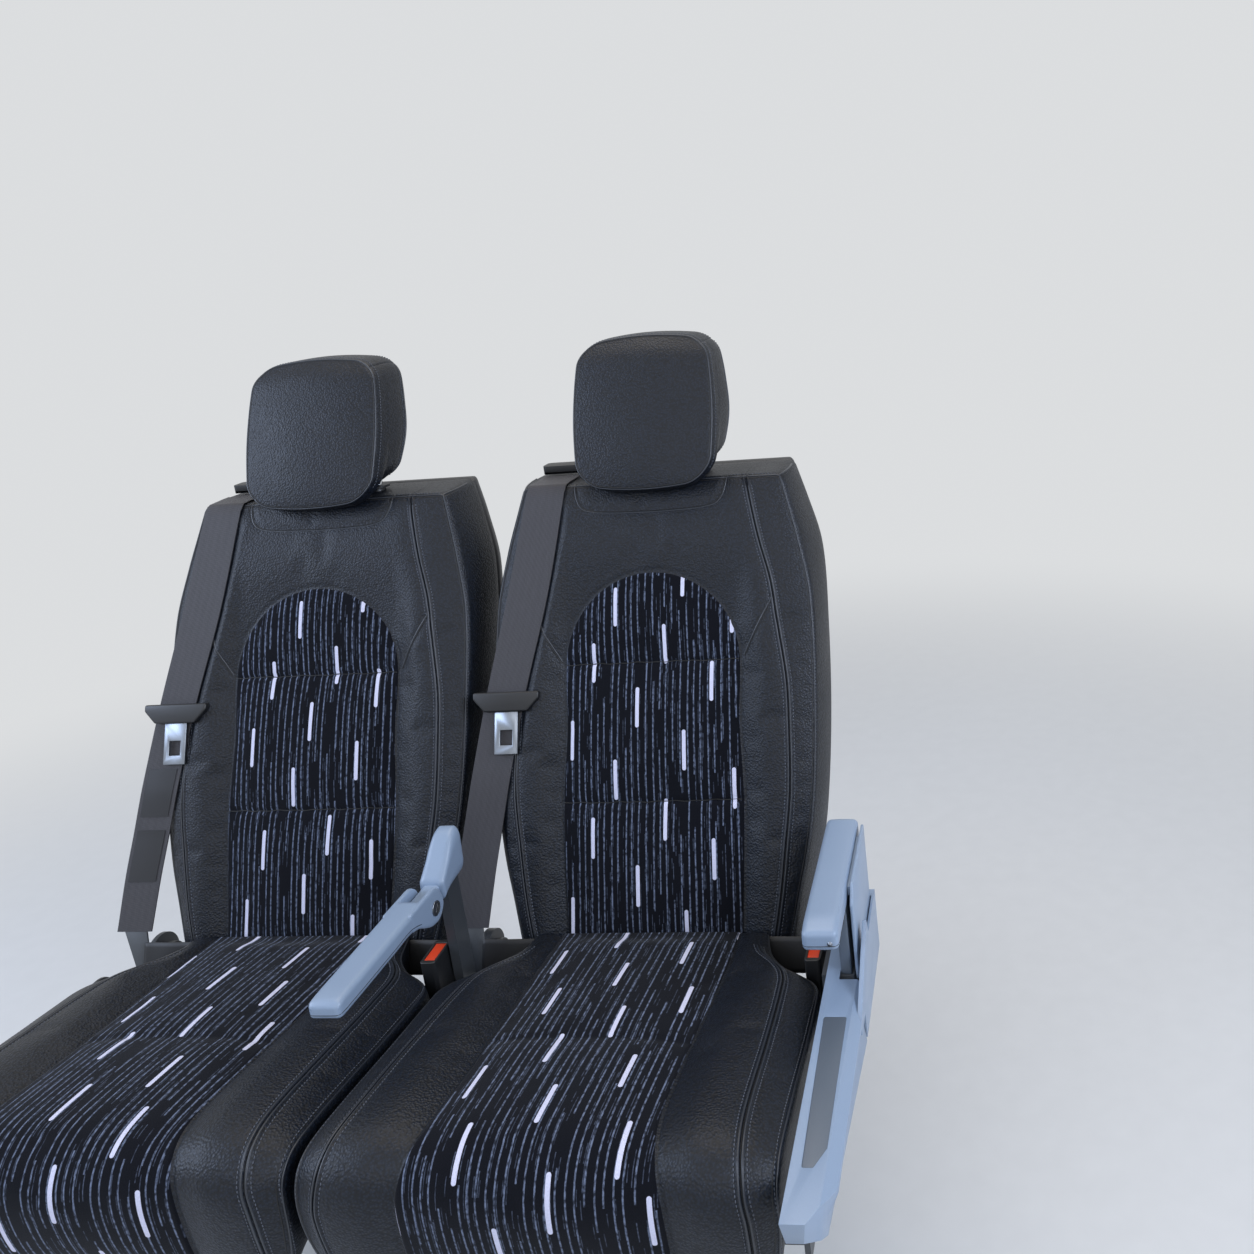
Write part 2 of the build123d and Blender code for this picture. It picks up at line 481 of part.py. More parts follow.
    # Belt webbing: a strip bent over the back's top edge, cut to its slanting edges
    with BuildPart() as belt_webbing:
        off, out = -WEBBING_OFF, -WEBBING_OFF - WEBBING_THICK
        top_off, top_out = WEBBING_TOP_OFF, WEBBING_TOP_OFF + WEBBING_THICK / LEAN_COS
        with BuildSketch(lean_section(seat_x + WEBBING_EDGES[0][1])):
            with BuildLine():
                Polyline(
                    (off, WEBBING_EDGES[0][0]),
                    (off, BACK_TOP + top_off),
                    (WEBBING_REACH, BACK_TOP + top_off + WEBBING_REACH * LEAN_TAN),
                    (WEBBING_REACH, BACK_TOP + top_out + WEBBING_REACH * LEAN_TAN),
                    (out, BACK_TOP + top_out),
                    (out, WEBBING_EDGES[0][0]),
                    close=True,
                )
            make_face()
        extrude(amount=WEBBING_EDGES[-1][2] - WEBBING_EDGES[0][1])
        with BuildSketch(face_plane(seat_x, -WEBBING_THICK * 2)):
            with BuildLine():
                left = [(left_x, along) for along, left_x, right_x in WEBBING_EDGES]
                right = [(right_x, along) for along, left_x, right_x in reversed(WEBBING_EDGES)]
                Polyline(*left, *right, close=True)
            make_face()
        extrude(amount=-BACK_THICK, mode=Mode.INTERSECT)
    write(belt_webbing.part, f"belt_webbing_{side}")

    # Guide on the back's top that the webbing goes into
    with BuildPart() as belt_guide:
        guide_x = seat_x + BELT_GUIDE_AT
        guide_front_y = back_point(WEBBING_REACH, BACK_TOP + WEBBING_REACH * LEAN_TAN)[0] - BELT_GUIDE_LAP
        guide_low = top_height(BACK_TOP)
        with BuildSketch(Plane.XY.offset(guide_low)):
            with Locations((guide_x, guide_front_y + BELT_GUIDE_Y / 2)):
                RectangleRounded(BELT_GUIDE_X, BELT_GUIDE_Y, BELT_GUIDE_R)
        extrude(amount=BELT_GUIDE_Z)
        with BuildSketch(Plane.XZ.offset(-guide_front_y)):
            with Locations((guide_x, guide_low + BELT_SLOT_Z / 2 + BELT_SLOT_LIFT)):
                Rectangle(BELT_SLOT_X, BELT_SLOT_Z)
        extrude(amount=-BELT_SLOT_DEEP, mode=Mode.SUBTRACT)
    write(belt_guide.part, f"belt_guide_{side}")

    # Tongue and its moulded cover, parked on the webbing
    cover_behind = -WEBBING_OFF - WEBBING_THICK - COVER_GAP
    with BuildPart() as tongue_cover:
        with BuildSketch(face_plane(seat_x + TONGUE_X, cover_behind)):
            with BuildLine():
                Polyline(
                    (-COVER_LOW_HALF, TONGUE_AT + COVER_HIGH),
                    (-COVER_LOW_HALF, TONGUE_AT + COVER_SHOULDER),
                    (-COVER_TOP_HALF, TONGUE_AT),
                    (COVER_TOP_HALF, TONGUE_AT),
                    (COVER_LOW_HALF, TONGUE_AT + COVER_SHOULDER),
                    (COVER_LOW_HALF, TONGUE_AT + COVER_HIGH),
                    close=True,
                )
            make_face()
        extrude(amount=COVER_THICK)
    write(tongue_cover.part, f"belt_tongue_cover_{side}")

    with BuildPart() as belt_tongue:
        with BuildSketch(face_plane(seat_x + TONGUE_X, cover_behind - COVER_THICK / 2)):
            with Locations((0, TONGUE_AT - TONGUE_LONG / 2)):
                Rectangle(TONGUE_WIDE, TONGUE_LONG)
            with Locations((0, TONGUE_AT - TONGUE_SLOT_AT)):
                Rectangle(TONGUE_SLOT_X, TONGUE_SLOT_LONG, mode=Mode.SUBTRACT)
        extrude(amount=TONGUE_THICK)
    write(belt_tongue.part, f"belt_tongue_{side}")

    # Belt anchor: a plate under the webbing's end with a lug round the hinge rod
    with BuildPart() as belt_anchor:
        end_left, end_right = WEBBING_EDGES[0][1:]
        anchor_low = RECLINE_AT[1] - ANCHOR_LUG
        with BuildSketch(face_plane(seat_x, -WEBBING_OFF)):
            with BuildLine():
                Polyline(
                    (end_right - ANCHOR_WIDE, WEBBING_EDGES[0][0]),
                    (end_right - ANCHOR_LUG / 2, WEBBING_EDGES[0][0]),
                    (end_right, anchor_low + ANCHOR_LUG),
                    (end_right, anchor_low),
                    (end_right - ANCHOR_LUG, anchor_low),
                    close=True,
                )
            make_face()
        extrude(amount=ANCHOR_THICK)
        with BuildSketch(lean_section(seat_x + end_right - ANCHOR_LUG_THICK)):
            with Locations(((RECLINE_AT[0] - WEBBING_OFF) / 2, RECLINE_AT[1])):
                Rectangle(RECLINE_AT[0] + WEBBING_OFF, 2 * ANCHOR_LUG)
            with Locations(RECLINE_AT):
                Circle(ANCHOR_LUG)
                Circle(HINGE_ROD_R, mode=Mode.SUBTRACT)
        extrude(amount=ANCHOR_LUG_THICK)
    write(belt_anchor.part, f"belt_anchor_{side}")

    # Buckle on its stalk
    buckle_x, buckle_y = CUSHION_HALF - BUCKLE_IN, CUSHION_SIDE_END + BUCKLE_BACK
    with BuildPart() as buckle:
        with BuildSketch(Plane.XY.offset(BUCKLE_TOP - BUCKLE_HIGH)):
            with Locations((seat_x + buckle_x, buckle_y)):
                RectangleRounded(BUCKLE_WIDE, BUCKLE_LONG, BUCKLE_R)
        extrude(amount=BUCKLE_HIGH)
        with BuildSketch(Plane.XY.offset(BUCKLE_TOP)):
            with Locations((seat_x + buckle_x, buckle_y)):
                Rectangle(BUCKLE_WIDE - 2 * BUTTON_RIM, BUCKLE_LONG - 4 * BUTTON_RIM)
        extrude(amount=-BUTTON_HIGH, mode=Mode.SUBTRACT)
    write(buckle.part, f"buckle_{side}")

    with BuildPart() as buckle_button:
        with BuildSketch(Plane.XY.offset(BUCKLE_TOP - BUTTON_HIGH)):
            with Locations((seat_x + buckle_x, buckle_y)):
                Rectangle(BUCKLE_WIDE - 2 * BUTTON_RIM, BUCKLE_LONG - 4 * BUTTON_RIM)
        extrude(amount=BUTTON_HIGH - BUTTON_SUNK)
    write(buckle_button.part, f"buckle_button_{side}")

    with BuildPart() as buckle_stalk:
        with BuildSketch(Plane.XY.offset(CUSHION_UNDER)):
            with Locations((seat_x + buckle_x, buckle_y)):
                Rectangle(STALK_THICK, STALK_LONG)
        extrude(amount=BUCKLE_TOP - BUCKLE_HIGH - CUSHION_UNDER)
    write(buckle_stalk.part, f"buckle_stalk_{side}")


def from_pivot(points):
    """Points of a profile that counts from the centre armrest's pivot."""
    return [(ARM_PIVOT_Y + y, ARM_PIVOT_Z + z) for y, z in points]


def round_sides(solid, radius):
    """Round the edges of a solid's two outermost flat sides along X."""
    sides = solid.faces().sort_by(Axis.X)
    fillet(sides[0].edges() + sides[-1].edges(), radius)


# Neck of the centre armrest: a wide part on the column, and a tongue inside the armrest's end
with BuildPart() as armrest_neck:
    with BuildSketch(Plane.YZ.offset(PAIR_X - NECK_HALF)):
        with BuildLine():
            Polyline(*from_pivot(NECK_PROFILE), close=True)
        make_face()
    extrude(amount=2 * NECK_HALF)
    neck_sides = armrest_neck.faces().sort_by(Axis.X)
    chamfer(neck_sides[0].edges() + neck_sides[-1].edges(), NECK_EDGE)
    with BuildSketch(Plane.YZ.offset(PAIR_X - CENTRE_PLATE_THICK / 2)):
        with BuildLine():
            Polyline(*from_pivot(NECK_RECESS), close=True)
        make_face()
    extrude(amount=CENTRE_PLATE_THICK, mode=Mode.SUBTRACT)
    with BuildSketch(Plane.YZ.offset(PAIR_X - NECK_TONGUE / 2)):
        with Locations((ARM_PIVOT_Y, ARM_PIVOT_Z)):
            Circle(NECK_TONGUE_R)
        with BuildLine():
            Polyline(*from_pivot(NECK_STALK), close=True)
        make_face()
        with Locations((ARM_PIVOT_Y, ARM_PIVOT_Z)):
            Circle(ARM_PIN_R + ROD_CLEAR, mode=Mode.SUBTRACT)
    extrude(amount=NECK_TONGUE)
write(armrest_neck.part, "armrest_neck")

# Centre armrest, slotted at its rear end for the tongue
with BuildPart() as centre_armrest:
    with BuildSketch(Plane.YZ.offset(PAIR_X - ARM_HALF)):
        with BuildLine():
            front = Polyline(*from_pivot(ARM_PROFILE))
            rear_points = from_pivot(((ARM_END_R, 0), (0, -ARM_END_R)))
            rear = ThreePointArc(front @ 1, *rear_points)
            Line(rear @ 1, front @ 0)
        make_face()
    extrude(amount=2 * ARM_HALF)
    round_sides(centre_armrest, ARM_EDGE_R)
    with BuildSketch(Plane.YZ.offset(PAIR_X - ARM_HALF)):
        with Locations((ARM_PIVOT_Y, ARM_PIVOT_Z)):
            Circle(ARM_PIN_R)
    extrude(amount=2 * ARM_HALF, mode=Mode.SUBTRACT)
    with BuildSketch(Plane.YZ.offset(PAIR_X - ARM_SLOT / 2)):
        with Locations((ARM_PIVOT_Y, ARM_PIVOT_Z)):
            Rectangle(2 * NECK_CUT, 4 * ARM_END_R)
    extrude(amount=ARM_SLOT, mode=Mode.SUBTRACT)
write(centre_armrest.part, "centre_armrest")

# Pin of the centre armrest, with a round cap at each end
with BuildPart() as armrest_pin:
    with BuildSketch(Plane.YZ.offset(PAIR_X - ARM_HALF)):
        with Locations((ARM_PIVOT_Y, ARM_PIVOT_Z)):
            Circle(ARM_PIN_R)
    extrude(amount=2 * ARM_HALF)
    for cap_x, cap_out in ((PAIR_X - ARM_HALF, -ARM_CAP_THICK), (PAIR_X + ARM_HALF, ARM_CAP_THICK)):
        with BuildSketch(Plane.YZ.offset(cap_x)):
            with Locations((ARM_PIVOT_Y, ARM_PIVOT_Z)):
                Circle(ARM_CAP_R)
        extrude(amount=cap_out)
write(armrest_pin.part, "armrest_pin")

# Aisle armrest: a pad on a flat post
rest_low = REST_TOP - REST_THICK
with BuildPart() as aisle_armrest:
    with BuildSketch(Plane.YZ.offset(AISLE_SIDE + REST_IN)):
        with Locations((REST_FRONT + REST_LONG / 2, (rest_low + REST_TOP) / 2)):
            RectangleRounded(REST_LONG, REST_THICK, REST_END_R)
    extrude(amount=REST_WIDE)
    round_sides(aisle_armrest, REST_EDGE_R)
write(aisle_armrest.part, "aisle_armrest")

post_middle = (AISLE_SIDE + POST_IN + REST_POST_THICK / 2, REST_POST_FRONT + REST_POST_LONG / 2)
with BuildPart() as aisle_armrest_post:
    with BuildSketch(Plane.XY.offset(FAIR_DECK - REST_POST_DEEP)):
        with Locations(post_middle):
            Rectangle(REST_POST_THICK, REST_POST_LONG)
    extrude(amount=rest_low - FAIR_DECK + REST_POST_DEEP)
write(aisle_armrest_post.part, "aisle_armrest_post")

# Guard on the post's outer side, which rides with the armrest and is fixed to its pad by a rib
guard_in = AISLE_SIDE + POST_IN + REST_POST_THICK + GUARD_GAP
guard_rear, guard_top = REST_POST_FRONT + REST_POST_LONG, REST_TOP - GUARD_DROP
with BuildPart() as armrest_guard:
    with BuildSketch(Plane.YZ.offset(guard_in)):
        with BuildLine():
            Polyline(
                (REST_POST_FRONT, FAIR_DECK - FAIR_BEVEL),
                (REST_POST_FRONT, guard_top - GUARD_SLOPE),
                (REST_POST_FRONT + GUARD_SLOPE, guard_top),
                (guard_rear, guard_top),
                (guard_rear, FAIR_DECK - FAIR_BEVEL),
                close=True,
            )
        make_face()
    extrude(amount=GUARD_THICK)
    with BuildSketch(Plane.YZ.offset(guard_in)):
        with Locations((post_middle[1], (rest_low + REST_TOP) / 2)):
            Rectangle(REST_POST_LONG - 2 * GUARD_SLOPE, REST_THICK - 3 * REST_EDGE_R)
    extrude(amount=AISLE_SIDE + REST_IN + REST_WIDE - guard_in)
write(armrest_guard.part, "armrest_guard")

# Sleeve that guides the post, fixed to the side plate by its web
with BuildPart() as armrest_guide:
    sleeve_x, sleeve_y = REST_POST_THICK + 2 * REST_CLEAR, REST_POST_LONG + 2 * REST_CLEAR
    with BuildSketch(Plane.XY.offset(FAIR_DECK - REST_GUIDE_DEEP)):
        with Locations(post_middle):
            Rectangle(sleeve_x + 2 * REST_GUIDE_WALL, sleeve_y + 2 * REST_GUIDE_WALL)
        with Locations(((AISLE_SIDE + post_middle[0]) / 2, post_middle[1])):
            Rectangle(post_middle[0] - AISLE_SIDE, REST_POST_LONG / 2)
        with Locations(post_middle):
            Rectangle(sleeve_x, sleeve_y, mode=Mode.SUBTRACT)
    extrude(amount=GUIDE_TOP - FAIR_DECK + REST_GUIDE_DEEP)
write(armrest_guide.part, "armrest_guide")

# Box round the post: it ends this far behind the guard's outer face
box_out = guard_in + GUARD_THICK + SLOT_GAP + FAIR_WALL


def fairing_form(wall):
    """The fairing's outer form, or with a wall the hollow inside it, which is open to the seat and below."""
    inner, deck, rim = AISLE_SIDE - wall, FAIR_DECK - wall, AISLE_SIDE + FAIR_WIDE - wall
    front, low = FAIR_FRONT + wall, FAIR_DECK - FAIR_DEEP - 2 * wall
    with BuildPart() as form:
        with BuildSketch(Plane.XZ.offset(wall - FAIR_STEP)):
            with BuildLine():
                Polyline(
                    (inner, low),
                    (inner, deck),
                    (AISLE_SIDE + FAIR_EDGE - wall / 2, deck),
                    (rim, deck - FAIR_BEVEL + wall / 2),
                    (rim, deck - FAIR_RIM),
                    (AISLE_SIDE + FAIR_TUCK - wall, low),
                    close=True,
                )
            make_face()
        extrude(amount=FAIR_STEP - wall - FAIR_FRONT)
        with BuildSketch(Plane.XY.offset(low)):
            with BuildLine():
                nose_x = AISLE_SIDE + FAIR_NOSE_X
                Line((nose_x, front), (inner, front))
                Line((inner, front), (inner, FAIR_STEP))
                Line((inner, FAIR_STEP), (rim, FAIR_STEP))
                Line((rim, FAIR_STEP), (rim, FAIR_FRONT + 2 * FAIR_NOSE_LONG))
                ThreePointArc(
                    (rim, FAIR_FRONT + 2 * FAIR_NOSE_LONG),
                    (rim - (rim - nose_x) / 3, FAIR_FRONT + FAIR_NOSE_LONG / 2 + wall),
                    (nose_x, front),
                )
            make_face()
        extrude(amount=deck - low, mode=Mode.INTERSECT)
        with BuildSketch(Plane.YZ.offset(inner)):
            with BuildLine():
                Polyline(
                    (FAIR_FRONT, FAIR_DECK),
                    (FAIR_FRONT, deck - FAIR_NOSE_DEEP),
                    (FAIR_FRONT + FAIR_NOSE_LONG, low),
                    (FAIR_STEP, low),
                    (FAIR_STEP, FAIR_DECK),
                    close=True,
                )
            make_face()
        extrude(amount=FAIR_WIDE + wall, mode=Mode.INTERSECT)
        with BuildSketch(Plane.XY.offset(FAIR_DECK - FAIR_REAR_DEEP - 2 * wall)):
            Polygon(
                (inner, FAIR_STEP - 2 * wall),
                (box_out - wall, FAIR_STEP - 2 * wall),
                (box_out - wall, FAIR_REAR - wall),
                (inner, FAIR_REAR - wall),
                align=None,
            )
        extrude(amount=FAIR_REAR_DEEP + wall)
    return form.part


# Fairing: a thin deck and skin, with a fin that rises beside the post and a slot that the post runs in
with BuildPart() as fairing_aisle:
    add(fairing_form(0))
    with BuildSketch(Plane.YZ.offset(AISLE_SIDE + FAIR_WIDE)):
        with BuildLine():
            Polyline(
                (FIN_FRONT, FAIR_DECK - FIN_DEEP),
                (FIN_FRONT, FAIR_DECK - FAIR_BEVEL),
                (FIN_TIP, FAIR_DECK + FIN_RISE),
                (FIN_END, FAIR_DECK),
                (FIN_END, FAIR_DECK - FIN_DEEP),
                close=True,
            )
        make_face()
    extrude(amount=-FIN_THICK)
    add(fairing_form(FAIR_WALL), mode=Mode.SUBTRACT)
    with BuildSketch(Plane.XY.offset(FAIR_DECK)):
        Polygon(
            (post_middle[0] - sleeve_x / 2, SLOT_FRONT),
            (box_out - FAIR_WALL, SLOT_FRONT),
            (box_out - FAIR_WALL, guard_rear + SLOT_GAP),
            (post_middle[0] - sleeve_x / 2, guard_rear + SLOT_GAP),
            align=None,
        )
    extrude(amount=-2 * FAIR_WALL, mode=Mode.SUBTRACT)
    with BuildSketch(Plane.XY.offset(FAIR_DECK)) as inset_outline:
        Polygon(*[(AISLE_SIDE + x, y) for x, y in INSET_OUTLINE], align=None)
        fillet(inset_outline.vertices(), INSET_CORNER_R)
    extrude(amount=-INSET_DEEP, mode=Mode.SUBTRACT)
write(fairing_aisle.part, "fairing_aisle")

with BuildPart() as fairing_inset:
    add(inset_outline.sketch)
    extrude(amount=-INSET_DEEP)
write(fairing_inset.part, "fairing_inset")
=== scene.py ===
import json
import math

import bmesh
import bpy
import numpy as np
from bpy.props import FloatProperty, FloatVectorProperty, IntProperty, PointerProperty
from mathutils import Matrix, Vector
from mathutils.bvhtree import BVHTree


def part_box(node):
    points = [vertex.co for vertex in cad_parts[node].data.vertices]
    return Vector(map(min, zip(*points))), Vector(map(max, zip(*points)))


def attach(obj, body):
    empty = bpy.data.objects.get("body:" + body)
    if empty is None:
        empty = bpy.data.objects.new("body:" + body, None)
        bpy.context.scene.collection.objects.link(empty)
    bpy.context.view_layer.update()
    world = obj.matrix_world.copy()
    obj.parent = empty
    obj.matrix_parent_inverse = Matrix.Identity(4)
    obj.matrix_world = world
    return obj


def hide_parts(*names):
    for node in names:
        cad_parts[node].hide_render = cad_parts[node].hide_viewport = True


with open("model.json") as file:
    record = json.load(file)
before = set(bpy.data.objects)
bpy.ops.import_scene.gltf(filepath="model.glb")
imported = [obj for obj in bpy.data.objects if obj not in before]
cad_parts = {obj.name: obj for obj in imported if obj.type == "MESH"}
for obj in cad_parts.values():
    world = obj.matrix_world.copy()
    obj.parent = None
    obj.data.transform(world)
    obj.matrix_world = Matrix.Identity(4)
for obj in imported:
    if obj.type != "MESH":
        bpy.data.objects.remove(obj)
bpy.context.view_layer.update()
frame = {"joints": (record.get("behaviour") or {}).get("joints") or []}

bl_info = {
    "name": "Twin reclining coach seat",
    "version": (1, 0, 0),
    "blender": (4, 5, 0),
    "location": "View3D > Sidebar > Coach seat",
    "description": "Covers, seams, belts, armrests and trim for a twin reclining coach seat",
    "category": "Object",
}

MM = 0.001
SIDES = ("window", "aisle")


def linear(hex_colour):
    """Linear red, green and blue of an sRGB hex colour."""
    parts = [int(hex_colour[i:i + 2], 16) / 255 for i in (1, 3, 5)]
    return tuple(c / 12.92 if c <= 0.04045 else ((c + 0.055) / 1.055) ** 2.4 for c in parts)


# Where the seats stand, read from the frame. Lengths in this file are millimetres until a mesh is made.
def middle_x(node):
    """Middle of a node along X."""
    low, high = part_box(node)
    return (low.x + high.x) / 2 / MM


SEAT_X = {side: middle_x(f"headrest_{side}") for side in SIDES}
JOINTS = {joint["name"]: joint for joint in frame["joints"]}
RECLINE, LEAN_AXIS = JOINTS["recline_aisle"], JOINTS["headrest_height_aisle"]["axis"]
LEAN_SIN, LEAN_COS = LEAN_AXIS[1], LEAN_AXIS[2]
LEAN_TAN = LEAN_SIN / LEAN_COS

# The back's face: the hinge lies this far behind it and this far along it
HINGE_BEHIND, HINGE_ALONG = 45, -95
BACK_Y = RECLINE["pos_m"][1] / MM - HINGE_BEHIND * LEAN_COS - HINGE_ALONG * LEAN_SIN
BACK_Z = RECLINE["pos_m"][2] / MM + HINGE_BEHIND * LEAN_SIN - HINGE_ALONG * LEAN_COS
BEHIND = np.array([0, LEAN_COS, -LEAN_SIN])
UP_LEAN = np.array([0, LEAN_SIN, LEAN_COS])
ACROSS = np.array([1.0, 0, 0])


def lean_point(x, behind, along):
    """Points at x, this far behind the back's face and this far up its lean."""
    x, behind, along = np.broadcast_arrays(x, behind, along)
    start = np.array([0, BACK_Y, BACK_Z])
    return start + x[..., None] * ACROSS + behind[..., None] * BEHIND + along[..., None] * UP_LEAN


# Curves through measured places
def weights(places, knots):
    """Weights of a smooth curve through values at the knots, one column for each knot."""
    knots = np.asarray(knots, float)
    count = len(knots)
    places = np.clip(np.asarray(places, float), knots[0], knots[-1])
    index = np.clip(np.searchsorted(knots, places, side="right") - 1, 0, count - 2)
    step = knots[index + 1] - knots[index]
    t = (places - knots[index]) / step
    slope = np.zeros((count, count))
    for k in range(count):
        before, after = max(k - 1, 0), min(k + 1, count - 1)
        slope[k, before] -= 1 / (knots[after] - knots[before])
        slope[k, after] += 1 / (knots[after] - knots[before])
    eye = np.eye(count)
    return ((2 * t**3 - 3 * t**2 + 1)[..., None] * eye[index]
            + (3 * t**2 - 2 * t**3)[..., None] * eye[index + 1]
            + (step * (t**3 - 2 * t**2 + t))[..., None] * slope[index]
            + (step * (t**3 - t**2))[..., None] * slope[index + 1])


def through(places, table):
    """Smooth curve through a table of (place, value) pairs."""
    knots, values = zip(*table)
    return weights(places, knots) @ np.asarray(values, float)


def many(places, table):
    """Smooth curves through a table of rows: a place, then several values."""
    return weights(places, [row[0] for row in table]) @ np.array([row[1:] for row in table], float)


def away(x, y, line):
    """Distance of places from an open line of points."""
    x, y = np.broadcast_arrays(np.asarray(x, float), np.asarray(y, float))
    best = np.full(x.shape, 1e9)
    for (ax, ay), (bx, by) in zip(line, line[1:]):
        run_x, run_y = bx - ax, by - ay
        t = np.clip(((x - ax) * run_x + (y - ay) * run_y) / max(run_x**2 + run_y**2, 1e-9), 0, 1)
        best = np.minimum(best, np.hypot(x - ax - t * run_x, y - ay - t * run_y))
    return best


def hump(distance, width):
    """One at no distance, falling smoothly to nothing over about twice the width."""
    return np.exp(-(np.asarray(distance) / width) ** 2)


def fade(value, low, high):
    """Smooth step from 0 at low to 1 at high."""
    t = np.clip((np.asarray(value, float) - low) / (high - low), 0, 1)
    return t * t * (3 - 2 * t)


# Meshes
def quads(sheet):
    """Four-cornered faces between the rows and columns of a grid of point numbers."""
    return np.stack((sheet[:-1, :-1], sheet[1:, :-1], sheet[1:, 1:], sheet[:-1, 1:]), -1).reshape(-1, 4)


def block(us, vs, ws, radius, place, far_rows=False):
    """Closed box surface over three lists of places, its edges rounded, each place put by a function."""
    grid = np.stack(np.meshgrid(us, vs, ws, indexing="ij"), -1).astype(float)
    inner = np.clip(grid, grid[0, 0, 0] + radius, grid[-1, -1, -1] - radius)
    gap = grid - inner
    length = np.linalg.norm(gap, axis=-1, keepdims=True)
    grid = np.where(length > 0, inner + radius * gap / np.maximum(length, 1e-9), grid)
    kept = np.zeros(grid.shape[:3], bool)
    kept[[0, -1]], kept[:, [0, -1]], kept[:, :, 0] = True, True, True
    kept[:, :, -1] |= not far_rows
    number = np.full(kept.shape, -1)
    number[kept] = np.arange(kept.sum())
    points = place(*np.moveaxis(grid[kept], -1, 0))
    faces = np.concatenate((
        quads(number[-1]), quads(number[0])[:, ::-1],
        quads(number[:, 0]), quads(number[:, -1])[:, ::-1],
        quads(number[:, :, 0])[:, ::-1],
    )).tolist()
    far = number[:, :, -1]
    if far_rows:
        faces += [[far[0, j], far[-1, j], far[-1, j + 1], far[0, j + 1]] for j in range(1, far.shape[1] - 2)]
        faces.append(far[:, 0].tolist() + [far[-1, 1], far[0, 1]])
        faces.append([far[0, -2], far[-1, -2]] + far[::-1, -1].tolist())
    else:
        faces += quads(far).tolist()
    return points, outward(points, faces), number


def outward(points, faces):
    """Faces of a closed shape, turned so that they point outwards."""
    centre = points.mean(axis=0)
    first, second, third = (points[[face[k] for face in faces]] - centre for k in range(3))
    return faces if np.sum(first * np.cross(second, third)) > 0 else [face[::-1] for face in faces]


def new_object(name, mesh):
    """Object for a mesh, in the scene."""
    made = bpy.data.objects.new(name, mesh)
    bpy.context.collection.objects.link(made)
    return made


def new_piece(name, points, faces, material, edges=()):
    """Object from points in millimetres, with its material."""
    mesh = bpy.data.meshes.new(name)
    mesh.from_pydata((np.asarray(points) * MM).tolist(), edges, faces)
    mesh.materials.append(material)
    mesh.shade_smooth()
    mesh.validate()
    return new_object(name, mesh)


def lay_flat(piece, flat):
    """Give a woven piece its own flat coordinates, in millimetres for each point."""
    layer = piece.data.uv_layers.new(name="Cloth")
    corners = np.empty(len(piece.data.loops), int)
    piece.data.loops.foreach_get("vertex_index", corners)
    layer.data.foreach_set("uv", (flat.reshape(-1, 2) * MM)[corners].ravel())


def settle(piece):
    """Keep what the modifiers make of a piece as its plain mesh."""
    depsgraph = bpy.context.evaluated_depsgraph_get()
    mesh = bpy.data.meshes.new_from_object(piece.evaluated_get(depsgraph), depsgraph=depsgraph)
    piece.modifiers.clear()
    mesh.name = piece.name
    piece.data = mesh
    return piece


def carry(piece, body, slot, *nodes):
    """Let a piece ride on a body and hide the CAD nodes that it stands for; the slot is not used."""
    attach(piece, body)
    if nodes:
        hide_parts(*nodes)
    return piece


def softened(node, body, slot, material, width, segments=3, reshape=None):
    """Copy of a CAD node with its flats made whole and its edges rounded, reshaped by a function of its points."""
    mesh = bpy.data.meshes.new(f"{node}_moulded")
    work = bmesh.new()
    work.from_mesh(bpy.data.objects[node].data)
    bmesh.ops.remove_doubles(work, verts=work.verts, dist=0.02 * MM)
    bmesh.ops.dissolve_limit(work, angle_limit=math.radians(1), verts=work.verts, edges=work.edges)
    for vert in work.verts if reshape else ():
        vert.co = Vector(reshape(*(vert.co / MM))) * MM
    bmesh.ops.remove_doubles(work, verts=work.verts, dist=0.02 * MM)
    bmesh.ops.recalc_face_normals(work, faces=work.faces)
    work.to_mesh(mesh)
    work.free()
    mesh.materials.clear()
    mesh.materials.append(material)
    for face in mesh.polygons:
        face.material_index = 0
    made = new_object(f"{node}_moulded", mesh)
    bevel = made.modifiers.new("Edges", "BEVEL")
    bevel.width, bevel.segments, bevel.limit_method = width * MM, segments, "ANGLE"
    bevel.angle_limit, bevel.harden_normals = math.radians(35), False
    settle(made)
    made.data.shade_smooth()
    made.data.set_sharp_from_angle(angle=math.radians(38))
    return carry(made, body, slot, node)


# Nodes
def add_node(tree, kind, settings=None, inputs=None):
    """Add a node, set its properties, and set or link its inputs."""
    made = tree.nodes.new(kind)
    for name, value in (settings or {}).items():
        setattr(made, name, value)
    for key, value in (inputs or {}).items():
        if isinstance(value, bpy.types.NodeSocket):
            tree.links.new(value, made.inputs[key])
        else:
            made.inputs[key].default_value = value
    return made


def maths(tree, operation, first, second=0.0):
    """Arithmetic on two values."""
    return add_node(tree, "ShaderNodeMath", {"operation": operation}, {0: first, 1: second}).outputs[0]


def blended(tree, share, first, second):
    """Colour between two colours or sockets."""
    first, second = (value if isinstance(value, bpy.types.NodeSocket) else (*value, 1) for value in (first, second))
    return add_node(tree, "ShaderNodeMix", {"data_type": "RGBA"}, {"Factor": share, 6: first, 7: second}).outputs[2]


def noise(tree, where, detail, **inputs):
    """Noise with a unit scale in the given coordinates."""
    return add_node(tree, "ShaderNodeTexNoise", inputs={
        "Vector": where, "Scale": 1.0, "Detail": detail, **inputs}).outputs[0]


def scaled(tree, where, size, turn=(0, 0, 0)):
    """Coordinates multiplied by a size on each axis, and turned."""
    return add_node(tree, "ShaderNodeMapping", inputs={"Vector": where, "Scale": size, "Rotation": turn}).outputs[0]


